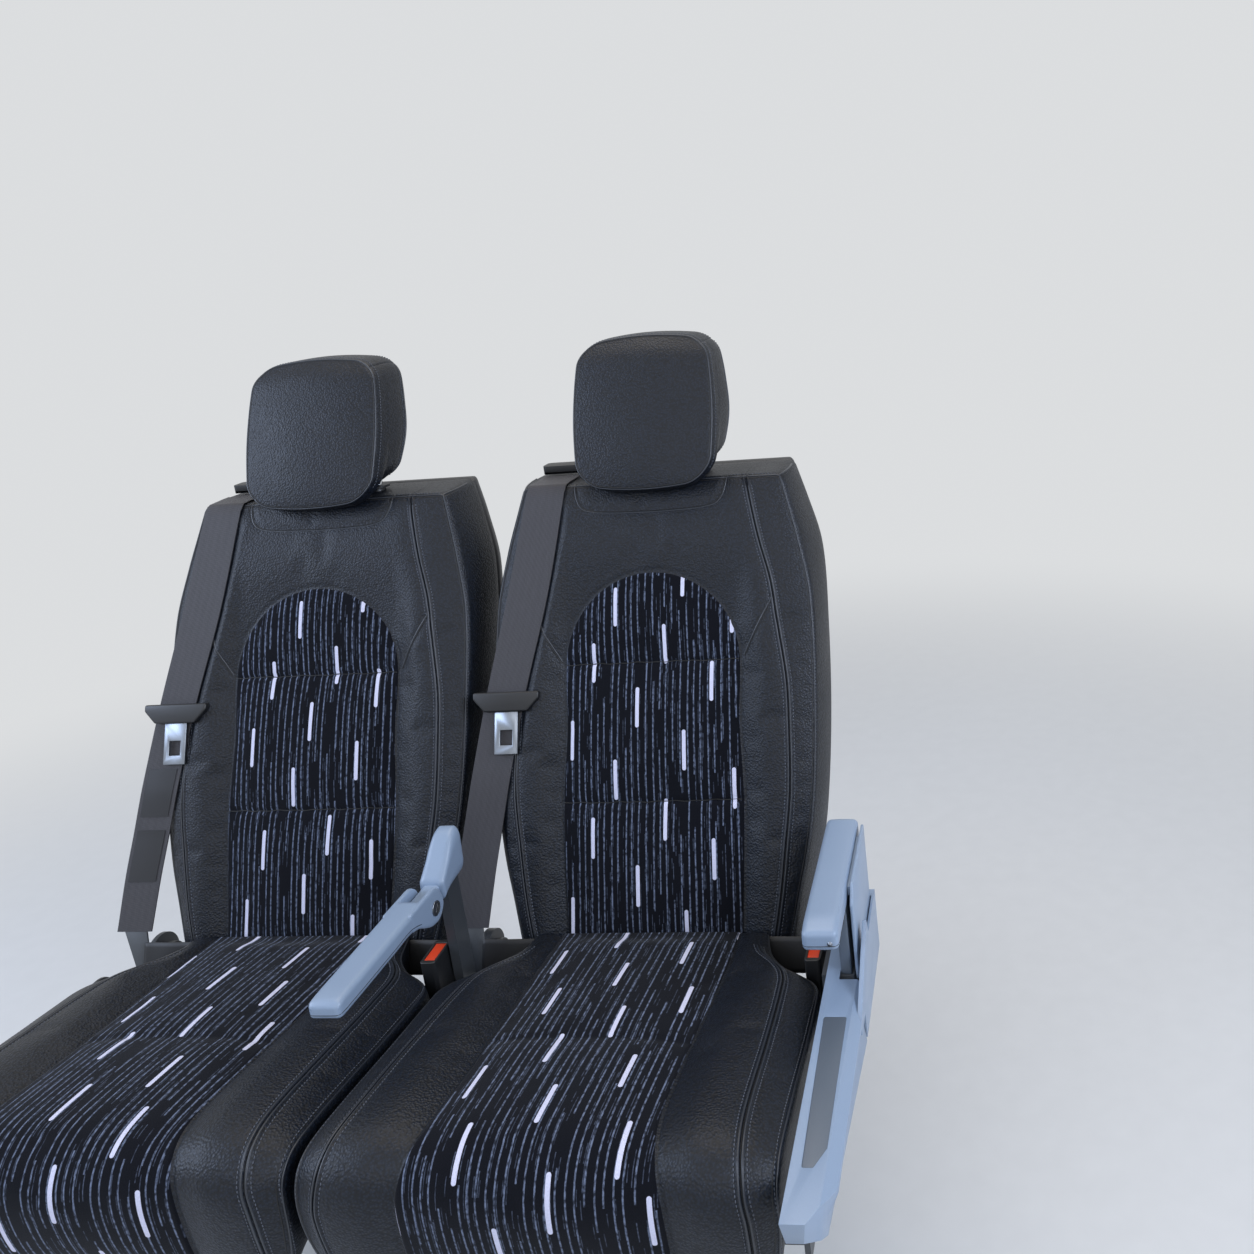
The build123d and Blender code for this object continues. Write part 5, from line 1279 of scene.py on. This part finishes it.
class SEAT_OT_belts(bpy.types.Operator):
    """Make the belt webbing, its guide, tongue, cover, anchor, and the buckles."""
    bl_idname = "seat.belts"
    bl_label = "Belts and buckles"

    def execute(self, context):
        for side in SIDES:
            seat_x, body = SEAT_X[side], f"back_{side}"
            up = np.arange(STRAP_LOW, STRAP_BEND, 6.0)
            left, right = webbing_edges(up)
            probe = left[:, None] + (right - left)[:, None] * np.linspace(0, 1, 9)[None]
            edge = through(up, BACK_SIDE)[:, None]
            cover = back_cover(np.clip(probe, -edge, edge), np.broadcast_to(up[:, None], probe.shape))
            ahead = np.minimum(cover.min(axis=1), -1.2) - 0.9
            ahead = np.convolve(np.pad(ahead, 4, mode="edge"), np.ones(9) / 9, mode="valid") - 0.5
            # The strap bends over the back's top edge and runs back along its top
            bend, over = np.linspace(0, math.pi / 2, 8)[1:], np.array([12, 24, 38, 50])
            behind = np.concatenate((ahead, -1.8 + 5 * (1 - np.cos(bend)), over))
            places = np.concatenate((up, STRAP_BEND + 10.5 * np.sin(bend), level_top(over) + 2.0))
            left, right = webbing_edges(places)
            first, second = (lean_point(seat_x + x, behind, places) for x in (left, right))
            middle = (first + second) / 2
            run = np.gradient(middle, axis=0)
            normal = np.cross(run, second - first)
            normal /= np.linalg.norm(normal, axis=1, keepdims=True)
            normal *= -np.sign(normal[2] @ BEHIND)
            lengths = np.concatenate(([0], np.cumsum(np.linalg.norm(np.diff(middle, axis=0), axis=1))))
            webbing = strap(f"webbing_{side}", normal, first, second, STRAP_THICK, finish("polyester_webbing"), lengths)
            carry(webbing, body, "webbing", f"belt_webbing_{side}")

            for node, rides, slot, material, width, segments in (
                    ("belt_tongue_cover", body, "black_plastic", "black_abs", 2.6, 4),
                    ("belt_tongue", body, "plated_steel", "zinc_plated_steel", 0.7, 2),
                    ("belt_guide", body, "black_plastic", "black_abs", 2.0, 3),
                    ("belt_anchor", body, "plated_steel", "powder_coated_steel", 0.6, 2),
                    ("buckle", "root", "black_plastic", "black_abs", 2.2, 4),
                    ("buckle_button", "root", "orange_plastic", "orange_red_abs", 1.0, 3),
                    ("buckle_stalk", "root", "black_plastic", "black_abs", 1.0, 3)):
                softened(f"{node}_{side}", rides, slot, finish(material), width, segments)
            if side == "window":
                self.labels(seat_x, body)
        return {"FINISHED"}

    def labels(self, seat_x, body):
        """Two blank labels sewn on the window seat's belt below the tongue."""
        for count, (low, high) in enumerate(((10, 78), (96, 160))):
            up = np.linspace(low, high, 18)
            left, right = webbing_edges(up)
            first, second = (lean_point(seat_x + x, -START, up) for x in (left + LABEL_IN, right - LABEL_IN))
            tree = BVHTree.FromObject(bpy.data.objects["webbing_window"], bpy.context.evaluated_depsgraph_get())
            for row in (first, second):
                for i in range(len(row)):
                    hit = tree.ray_cast(Vector(row[i] * MM), Vector(BEHIND), 0.2)[0]
                    if hit is not None:
                        row[i] = np.array(hit) / MM - BEHIND * 0.25
            normal = np.broadcast_to(-BEHIND, first.shape)
            label = strap(f"belt_label_{count + 1}", normal, first, second, LABEL_THICK, finish("satin_label_tape"),
                          up, 1)
            carry(label, body, "webbing")


# Armrests. Places count from the centre armrest's pivot, or from the floor for the aisle's pad.
PIVOT = [v / MM for v in JOINTS["centre_armrest_fold"]["pos_m"]]
ARM_HALF, ARM_FRONT, ARM_REAR, ARM_TALL = 17.5, -200, -21, 24
CHEEK_IN, CHEEK_THICK, CHEEK_FRONT, CHEEK_TURN, CHEEK_TALL = 11.6, 6, -52, 30, 40
CHEEK_R, CHEEK_TOP_R, CHEEK_DEGREES = 19, 24, 86   # the forked end's radius round the pivot, below and above it
NECK_HALF, NECK_LONG, NECK_TALL = 16, 90, 30
PAD_HALF, PAD_LONG, PAD_TALL = 20, 225, 27
ARM_TOP = ((-200, 25), (-192, 28), (-150, 27.5), (0, 24))
ARM_LOW = ((-200, 9.5), (-190, 7.5), (-90, 4), (-58, 3.4), (-42, -1), (-21, -10))
CHEEK_LOW = ((-52, 3.6), (-40, 0), (-26, -9), (-12, -16.5), (0, -19))
NECK_TOP = ((0, 26.8, 17), (0.35, 46, 33), (0.75, 72, 56), (1, 92, 60))
NECK_LOW = ((0, 26.8, -9), (0.35, 40, -5), (0.75, 62, -3), (1, 90, -2))
PAD_LOW, PAD_HIGH = (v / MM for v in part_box("aisle_armrest"))


def arm_place(u, v, w):
    """Main part of the centre armrest: v along it, w up from its underside, as a share of ARM_TALL."""
    top, low = through(v, ARM_TOP), through(v, ARM_LOW)
    z = low + w / ARM_TALL * (top - low) + 0.8 * (1 - (u / ARM_HALF) ** 2) * (w > ARM_TALL / 2)
    return np.stack((PIVOT[0] + u, PIVOT[1] + v, PIVOT[2] + z), -1)


def cheek_place(way):
    """One side of the armrest's forked end, which runs out round the pivot."""
    def place(u, v, w):
        turn = np.clip(v, 0, None) / CHEEK_TURN * math.radians(CHEEK_DEGREES)
        y = np.where(v > 0, CHEEK_R * np.sin(turn), v)
        top = np.where(v > 0, CHEEK_TOP_R * np.cos(turn), through(np.minimum(v, 0), ARM_TOP) + 0.15)
        low = np.where(v > 0, -CHEEK_R * np.cos(turn), through(np.minimum(v, 0), CHEEK_LOW))
        z = low + w / CHEEK_TALL * (top - low)
        return np.stack((PIVOT[0] + way * (CHEEK_IN + u), PIVOT[1] + y, PIVOT[2] + z), -1)
    return place


def neck_place(u, v, w):
    """Neck behind the armrest: v from its front end up to the column, w from its underside."""
    rise = v / NECK_LONG
    top, low = many(rise, NECK_TOP), many(rise, NECK_LOW)
    spot = low + (w / NECK_TALL)[..., None] * (top - low)
    narrow = 1 - 0.06 * rise
    return np.stack((PIVOT[0] + u * narrow, PIVOT[1] + spot[..., 0], PIVOT[2] + spot[..., 1]), -1)


def pad_place(u, v, w):
    """Aisle armrest: its top is a little crowned and comes down at the front."""
    crown = (1.0 * (1 - (u / PAD_HALF) ** 2) - 4.0 * fade(34 - v, 0, 34) ** 2) * fade(w, 10, 20)
    return np.stack(((PAD_LOW[0] + PAD_HIGH[0]) / 2 + u, PAD_LOW[1] + v, PAD_LOW[2] + w - 1.0 + crown), -1)


def around(skin, middle, half, front, rear, height, corner=7, lift=0.0):
    """Path round the sides and the front of an armrest at a height, laid on its skin."""
    turn = np.linspace(math.pi, 1.5 * math.pi, 9)
    left = [((-half + corner, y), (-1, 0)) for y in np.linspace(rear, front + corner, 40)]
    bend = [((-half + corner, front + corner), (math.cos(a), math.sin(a))) for a in turn]
    nose = [((x, front + corner), (0, -1)) for x in np.linspace(-half + corner, half - corner, 9)[1:-1]]
    mirrored = [((-x, y), (-a, b)) for (x, y), (a, b) in reversed(left + bend)]
    path = []
    for (x, y), (a, b) in left + bend + nose + mirrored:
        start = (middle + x + 40 * a, y + 40 * b, height(y))
        path += lay(skin, [start], (-a, -b, 0), lift)
    return path


class SEAT_OT_armrests(bpy.types.Operator):
    """Round and finish the armrests, the neck, the fairing and their small parts."""
    bl_idname = "seat.armrests"
    bl_label = "Armrests and fairing"

    def execute(self, context):
        light = finish("silver_grey_abs")
        cheek = (np.linspace(0, CHEEK_THICK, 7), np.linspace(CHEEK_FRONT, CHEEK_TURN, 34),
                 np.linspace(0, CHEEK_TALL, 14), 2.4)
        self.moulded("centre_armrest", light, (
            (np.linspace(-ARM_HALF, ARM_HALF, 17), np.linspace(ARM_FRONT, ARM_REAR, 62), np.linspace(0, ARM_TALL, 11),
             5.5, arm_place), (*cheek, cheek_place(-1)), (*cheek, cheek_place(1))))
        self.moulded("armrest_neck", light, (
            (np.linspace(-NECK_HALF, NECK_HALF, 15), np.linspace(0, NECK_LONG, 24), np.linspace(0, NECK_TALL, 13), 8,
             neck_place),
            (np.linspace(-10.3, 10.3, 9), np.linspace(-13, 34, 14), np.linspace(-9, 13, 9), 4,
             lambda u, v, w: np.stack((PIVOT[0] + u, PIVOT[1] + v, PIVOT[2] + w), -1))), "root")
        self.moulded("aisle_armrest", light, (
            (np.linspace(-PAD_HALF, PAD_HALF, 17), np.linspace(0, PAD_LONG, 60), np.linspace(0, PAD_TALL, 12), 6.5,
             pad_place),))
        for node, body, slot, material, width, segments, reshape in (
                ("armrest_pin", "centre_armrest", "plated_steel", "zinc_plated_steel", 0.5, 2, None),
                ("aisle_armrest_post", "aisle_armrest", "mid_grey_plastic", "mid_grey_abs", 1.5, 3, None),
                ("fairing_aisle", "root", "grey_plastic", "silver_grey_abs", 1.8, 3, self.fairing_shape),
                ("fairing_inset", "root", "mid_grey_plastic", "mid_grey_abs", 0.6, 2, None),
                ("armrest_guard", "aisle_armrest", "grey_plastic", "silver_grey_abs", 1.0, 3, None),
                ("armrest_guide", "root", "frame_steel", "powder_coated_steel", 0.8, 2, None),
                ("side_cover_window", "root", "shell_plastic", "charcoal_polypropylene", 2.0, 3, None)):
            softened(node, body, slot, finish(material), width, segments, reshape)
        self.details()
        return {"FINISHED"}

    def fairing_shape(self, x, y, z):
        """Place of a fairing point: the tray runs over into the box, and the nose is rounder and drawn back below."""
        inner, box_low, box_front = 355, 390, 30     # the box ends just below the lowered guard
        if y > box_front:
            z = max(z, box_low)
            if 380 < x < 390 and z < 400 and y < 45:
                # Rear end of the tray's lower edge, moved out to the box's wall
                x, z = x + 8, box_low
        low, nose = min(max((455 - z) / 22, 0), 1), max(0, -190 - y) / 88
        narrow = 1 - 0.12 * nose**2 - 0.25 * low * nose
        return inner + (x - inner) * narrow, y + low * nose * 16, z

    def moulded(self, node, material, shapes, body=None):
        """One piece from closed blocks, which stands for a CAD node."""
        points, faces = [], []
        for us, vs, ws, radius, place in shapes:
            more, sides, number = block(us, vs, ws, radius, place)
            faces += [[index + len(points) for index in face] for face in sides]
            points += more.tolist()
        made = new_piece(f"{node}_moulded", points, faces, material)
        carry(made, body or node, "grey_plastic", node)
        SKINS[node] = BVHTree.FromPolygons(points, faces)

    def details(self):
        """Parting lines under the armrests and the pin's screw slots, as black cords of painted shade in their gaps,
        and the small screws.
        """
        for node, front, rear, half, low in (
                ("centre_armrest", PIVOT[1] + ARM_FRONT, PIVOT[1] - 34, ARM_HALF, None),
                ("aisle_armrest", PAD_LOW[1], PAD_HIGH[1] - 8, PAD_HALF, PAD_LOW[2] + 6)):
            middle = middle_x(node)
            line = around(node, middle, half, front, rear, lambda y: low or PIVOT[2] + float(
                through(min(y - PIVOT[1], -30), ARM_LOW)) + 6.5)
            # Painted shade: a thin black cord along the parting line stands for the shade in its gap
            seam = grown(f"parting_line_{node}", *joined_paths([line]), tube_tree, {
                "Radius": 0.00045, "Sides": 5, "Step": 0.003, "Material": finish("black_abs")})
            carry(seam, node, "grey_plastic")
        slots = [[(PIVOT[0] + way * 19.0, PIVOT[1] + a, PIVOT[2] + b) for a, b in ((-3.4, -4.2), (0, 0), (3.4, 4.2))]
                 for way in (-1, 1)]
        # Painted shade: black cords stand for the shade in the pin's screw slots
        slot = grown("pin_screw_slots", *joined_paths(slots), tube_tree, {
            "Radius": 0.0009, "Sides": 6, "Step": 0.002, "Material": finish("black_abs")})
        carry(slot, "centre_armrest", "plated_steel")
        post_low, post_high = (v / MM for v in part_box("aisle_armrest_post"))
        middle = (post_low[0] + post_high[0]) / 2
        # The post's screw stays above the guide when the armrest is down
        places = [(middle, post_low[1], post_high[2] - 5), (PAD_HIGH[0] - 9, PAD_LOW[1], PAD_LOW[2] + 9)]
        screws = grown("armrest_screws", places, [], bolt_tree, {
            "Radius": 0.0022, "Height": 0.0012, "Material": finish("zinc_plated_steel")}, [(0, -1, 0)] * len(places))
        carry(screws, "aisle_armrest", "plated_steel")


# Shell: how far behind the face it starts, its low end along the lean, and the span and rows of its block
SHELL_AT, SHELL_LOW, SHELL_SPAN, SHELL_ROWS = 88.5, -60, 225, 600
NET_EDGES = (-165, 165, 20, 226)       # left, right, low and high edge of a net
FOOT_BOLTS_X, FOOT_BOLTS_Y, WALL_BOLTS_Y, WALL_FACE = (-35, 35), (-115, 115), (-120, 120), 28


def shell_place(seat_x):
    """Function that puts a place of the shell's block behind the back cover."""
    def place(u, v, w):
        behind = SHELL_AT + w
        along = SHELL_LOW + v / SHELL_ROWS * (level_top(behind, 524) - SHELL_LOW)
        side = through(along, BACK_REAR_SIDE) - 4 + 2.5 * (1 - w / 20)
        panel = away(np.abs(u) / SHELL_SPAN * side, along, ((0, 20), (0, 300)))
        behind = behind - 2.0 * fade(165 - panel, 0, 12) * (w / 20) ** 2
        return lean_point(seat_x + u / SHELL_SPAN * side, behind, along)
    return place


class SEAT_OT_shells(bpy.types.Operator):
    """Make the moulded back shells and the magazine nets."""
    bl_idname = "seat.shells"
    bl_label = "Back shells and nets"

    def execute(self, context):
        pitch = context.scene.seat_trim.net_pitch / MM
        for side in SIDES:
            seat_x, body = SEAT_X[side], f"back_{side}"
            across = np.array([-SHELL_SPAN, -223, -220, -216, *np.arange(-210, 211, 10), 216, 220, 223, SHELL_SPAN])
            up = np.array([0, 2, 5, 9, *np.arange(15, 586, 10), 591, 595, 598, SHELL_ROWS])
            points, faces, number = block(across, up, np.array([0, 4, 8, 12, 16, 18, 19.3]), 6, shell_place(seat_x))
            shell = new_piece(f"shell_{side}", points, faces, finish("charcoal_polypropylene"))
            carry(shell, body, "shell_plastic", f"back_shell_{side}")
            net = []
            low_x, high_x, low_s, high_s = NET_EDGES
            tall = high_s - low_s
            t = np.arange(0, tall + 0.1, pitch / 2)
            for way in (-1, 1):
                for start in np.arange(low_x - tall, high_x + tall, pitch):
                    x = start + (t if way == 1 else tall - t)
                    keep = (x >= low_x) & (x <= high_x)
                    if keep.sum() > 2:
                        net.append(lean_point(seat_x + x[keep], 109.6 + 0.5 * way, low_s + t[keep]))
            strands = grown(f"net_{side}", *joined_paths(net), tube_tree, {
                "Radius": 0.0008, "Sides": 4, "Step": pitch * MM / 2, "Material": finish("elastic_cord")})
            carry(strands, body, "net", f"magazine_net_{side}")
            border = lean_point(seat_x + np.array([low_x, low_x, high_x, high_x]), 110,
                                np.array([high_s, low_s, low_s, high_s]))
            top = lean_point(seat_x + np.linspace(low_x, high_x, 30), 112,
                             high_s + 2 - 3 * np.cos(np.linspace(-1.5, 1.5, 30)))
            hem = grown(f"net_hem_{side}", *joined_paths([border, top]), tube_tree, {
                "Radius": 0.0028, "Sides": 10, "Step": 0.008, "Material": finish("elastic_cord")})
            carry(hem, body, "net")
        return {"FINISHED"}


class SEAT_OT_frame(bpy.types.Operator):
    """Finish the steel frame and fit its bolts."""
    bl_idname = "seat.frame"
    bl_label = "Frame and bolts"

    def execute(self, context):
        painted = ("front_beam", "rear_beam", "side_plate_window", "side_plate_centre", "side_plate_aisle",
                   "pedestal_leg", "pedestal_foot", "wall_bracket")
        nodes = [(node, "powder_coated_steel") for node in painted]
        for side in SIDES:
            nodes += [(f"headrest_posts_{side}", "polished_steel"), (f"hinge_rod_{side}", "zinc_plated_steel"),
                      (f"headrest_guides_{side}", "black_abs"), (f"cushion_pan_{side}", "powder_coated_steel")]
        for node, name in nodes:
            for slot in bpy.data.objects[node].material_slots:
                slot.material = finish(name)
        # Four bolts hold the foot to the floor and two hold the bracket to the wall
        foot_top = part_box("pedestal_foot")[1].z / MM
        places = [(x, y, foot_top + 1.5) for x in FOOT_BOLTS_X for y in FOOT_BOLTS_Y]
        facing = [(0, 0, 1)] * len(places)
        wall_low, wall_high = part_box("wall_bracket")
        for y in WALL_BOLTS_Y:
            places.append((wall_high.x / MM - WALL_FACE, y, (wall_low.z + wall_high.z) / 2 / MM))
            facing.append((1, 0, 0))
        bolts = grown("frame_bolts", places, [], bolt_tree,
                      {"Radius": 0.0075, "Height": 0.006, "Material": finish("zinc_plated_steel")}, facing)
        carry(bolts, "root", "plated_steel")
        return {"FINISHED"}


CAMERA_AT = (0.568, -1.028, 1.292)
CAMERA_TURN = (6.85, -13.34, 4.87)     # yaw, pitch and roll in degrees
LENS, SENSOR, SHIFT_X, SHIFT_Y = 31.58, 36, -0.185, -0.1116
FLOOR_X, FLOOR_Y, FLOOR_FADE = (-14, 14), (-12, 14), (1.3, 3.2)   # its edges, and where it runs over, in metres
LAMPS_AIM = (-0.1, 0.1, 0.7)
BACKDROP, BACKDROP_LEVEL, WORLD_LEVEL = linear("#e6e8ea"), 0.9, 0.34
LAMPS = (                              # name, place, size, power, colour
    ("Left_windows", (-2.8, -0.9, 2.1), 1.9, 72, "#cfe0ff"), ("Right_windows", (2.7, -0.9, 2.0), 1.3, 66, "#dce8ff"),
    ("Windscreen", (0.4, -3.2, 2.5), 2.2, 34, "#f2f5ff"), ("Ceiling", (0.0, 0.7, 3.1), 2.0, 30, "#fff4e6"))


class SEAT_OT_stage(bpy.types.Operator):
    """Make the floor, the lights and the camera."""
    bl_idname = "seat.stage"
    bl_label = "Floor, lights and camera"

    def execute(self, context):
        points = [(x / MM, y / MM, 0) for x in FLOOR_X for y in FLOOR_Y]
        made, tree, shader = new_material("pale_floor_paint")
        speck = noise(tree, place_of(tree, 40), 2.0)
        tint(tree, shader.inputs["Base Color"], speck, linear("#dcdcda"), linear("#e2e2e0"))
        shader.inputs["Roughness"].default_value = 0.8
        # Far from the seat the floor runs over into the backdrop
        reach = add_node(tree, "ShaderNodeVectorMath", {"operation": "LENGTH"}, {0: place_of(tree, 1000)})
        far = add_node(tree, "ShaderNodeMapRange", {"interpolation_type": "SMOOTHSTEP"}, {
            "Value": reach.outputs["Value"], "From Min": FLOOR_FADE[0], "From Max": FLOOR_FADE[1]})
        share = maths(tree, "MULTIPLY", far.outputs[0], self.seen(tree))
        pale = add_node(tree, "ShaderNodeEmission", inputs={"Color": (*BACKDROP, 1), "Strength": BACKDROP_LEVEL})
        mixed = add_node(tree, "ShaderNodeMixShader", inputs={0: share, 1: shader.outputs[0], 2: pale.outputs[0]})
        tree.links.new(mixed.outputs[0], tree.nodes["Material Output"].inputs[0])
        floor = new_piece("studio_floor", points, [(0, 2, 3, 1)], made)
        floor.data.flip_normals()

        self.backdrop(context)
        for name, spot, size, power, colour in LAMPS:
            lamp = bpy.data.lights.new(name, "AREA")
            lamp.color = linear(colour)
            lamp.energy, lamp.size = power, size
            holder = bpy.data.objects.new(name, lamp)
            context.collection.objects.link(holder)
            aim = Vector(LAMPS_AIM) - Vector(spot)
            holder.matrix_world = Matrix.Translation(spot) @ aim.to_track_quat("-Z", "Y").to_matrix().to_4x4()

        lens = bpy.data.cameras.new("Camera")
        lens.lens, lens.sensor_width, lens.shift_x, lens.shift_y = LENS, SENSOR, SHIFT_X, SHIFT_Y
        lens.clip_start = 0.02
        camera = bpy.data.objects.new("Camera", lens)
        context.collection.objects.link(camera)
        yaw, pitch, roll = (math.radians(a) for a in CAMERA_TURN)
        turn = Matrix.Rotation(yaw, 3, "Z") @ Matrix.Rotation(pitch, 3, "X") @ Matrix.Rotation(roll, 3, "Y")
        look = turn @ Matrix.Rotation(math.pi / 2, 3, "X")
        camera.matrix_world = Matrix.Translation(CAMERA_AT) @ look.to_4x4()
        context.scene.camera = camera
        context.scene.view_settings.view_transform = "Standard"
        return {"FINISHED"}

    def seen(self, tree):
        """One for a ray that comes from the camera, a reflection or a clear piece."""
        rays = add_node(tree, "ShaderNodeLightPath").outputs
        straight = maths(tree, "MAXIMUM", rays["Is Camera Ray"], rays["Is Glossy Ray"])
        return maths(tree, "MAXIMUM", straight, rays["Is Transmission Ray"])

    def backdrop(self, context):
        """Soft light from all round, which the camera and reflections see as a pale backdrop."""
        world = bpy.data.worlds.new("Studio")
        context.scene.world = world
        world.use_nodes = True
        tree = world.node_tree
        soft = tree.nodes["Background"]
        soft.inputs[0].default_value = (*linear("#dfe8f4"), 1)
        soft.inputs[1].default_value = WORLD_LEVEL
        pale = add_node(tree, "ShaderNodeBackground", inputs={"Color": (*BACKDROP, 1), "Strength": BACKDROP_LEVEL})
        mixed = add_node(tree, "ShaderNodeMixShader", inputs={
            0: self.seen(tree), 1: soft.outputs[0], 2: pale.outputs[0]})
        tree.links.new(mixed.outputs[0], tree.nodes["World Output"].inputs[0])


class SeatCovers(bpy.types.PropertyGroup):
    """Sizes of the sewing."""
    stitch_pitch: FloatProperty(name="Stitch pitch", description="From one stitch to the next", default=4.2 * MM,
                                unit="LENGTH", subtype="DISTANCE")
    stitch_length: FloatProperty(name="Stitch length", description="Length of one stitch that shows", default=3.0 * MM,
                                 unit="LENGTH", subtype="DISTANCE")
    thread_radius: FloatProperty(name="Thread radius", description="Half the thread's thickness", default=0.7 * MM,
                                 unit="LENGTH", subtype="DISTANCE")
    lip_radius: FloatProperty(name="Seam lip radius", description="Half the thickness of the raised lip of a seam",
                              default=1.3 * MM, unit="LENGTH", subtype="DISTANCE")
    # The fold line is a black cord of painted shade in the seam's gap
    fold_radius: FloatProperty(name="Fold line radius", description="Half the width of the dark line in a seam",
                               default=0.7 * MM, unit="LENGTH", subtype="DISTANCE")


class SeatTrim(bpy.types.PropertyGroup):
    """Sizes of the trim."""
    net_pitch: FloatProperty(name="Net mesh", description="Distance between the net's strands", default=12 * MM,
                             unit="LENGTH", subtype="DISTANCE")


class SeatColours(bpy.types.PropertyGroup):
    """Colours of the finishes."""
    vinyl: FloatVectorProperty(name="Vinyl", description="Covers", default=linear("#0f1621"), subtype="COLOR")
    velour: FloatVectorProperty(name="Velour", description="Ground of the cloth", default=linear("#090b12"),
                                subtype="COLOR")
    line: FloatVectorProperty(name="Lines", description="Thin lines in the cloth", default=linear("#707a90"),
                              subtype="COLOR")
    dash: FloatVectorProperty(name="Dashes", description="Pale dashes in the cloth", default=linear("#d6d6ea"),
                              subtype="COLOR")
    webbing: FloatVectorProperty(name="Webbing", description="Belt webbing", default=linear("#302e32"),
                                 subtype="COLOR")
    light_plastic: FloatVectorProperty(name="Light plastic", description="Armrests and fairing",
                                       default=linear("#8a9bb0"), subtype="COLOR")
    mid_plastic: FloatVectorProperty(name="Mid plastic", description="Inset and armrest post",
                                     default=linear("#59626c"), subtype="COLOR")
    button: FloatVectorProperty(name="Button", description="Buckle button", default=linear("#d8401c"), subtype="COLOR")


class SEAT_PT_panel(bpy.types.Panel):
    """Pieces and sizes of the seat."""
    bl_idname = "SEAT_PT_panel"
    bl_label = "Twin coach seat"
    bl_space_type, bl_region_type, bl_category = "VIEW_3D", "UI", "Coach seat"

    def draw(self, context):
        for operator in OPERATORS:
            self.layout.operator(operator.bl_idname)
        for group in (context.scene.seat_covers, context.scene.seat_trim, context.scene.seat_colours):
            for name in group.bl_rna.properties.keys():
                if name not in ("rna_type", "name"):
                    self.layout.prop(group, name)


OPERATORS = (SEAT_OT_backs, SEAT_OT_cushions, SEAT_OT_headrests, SEAT_OT_seams, SEAT_OT_belts, SEAT_OT_armrests,
             SEAT_OT_shells, SEAT_OT_frame, SEAT_OT_stage)
GROUPS = (("seat_covers", SeatCovers), ("seat_trim", SeatTrim), ("seat_colours", SeatColours))


def register():
    for name, group in GROUPS:
        bpy.utils.register_class(group)
        setattr(bpy.types.Scene, name, PointerProperty(type=group))
    for made in (*OPERATORS, SEAT_PT_panel):
        bpy.utils.register_class(made)


def unregister():
    for made in (SEAT_PT_panel, *reversed(OPERATORS)):
        bpy.utils.unregister_class(made)
    for name, group in reversed(GROUPS):
        delattr(bpy.types.Scene, name)
        bpy.utils.unregister_class(group)


def main():
    register()
    for operator in OPERATORS:
        group, name = operator.bl_idname.split(".")
        getattr(getattr(bpy.ops, group), name)()


if __name__ == "__main__":
    main()
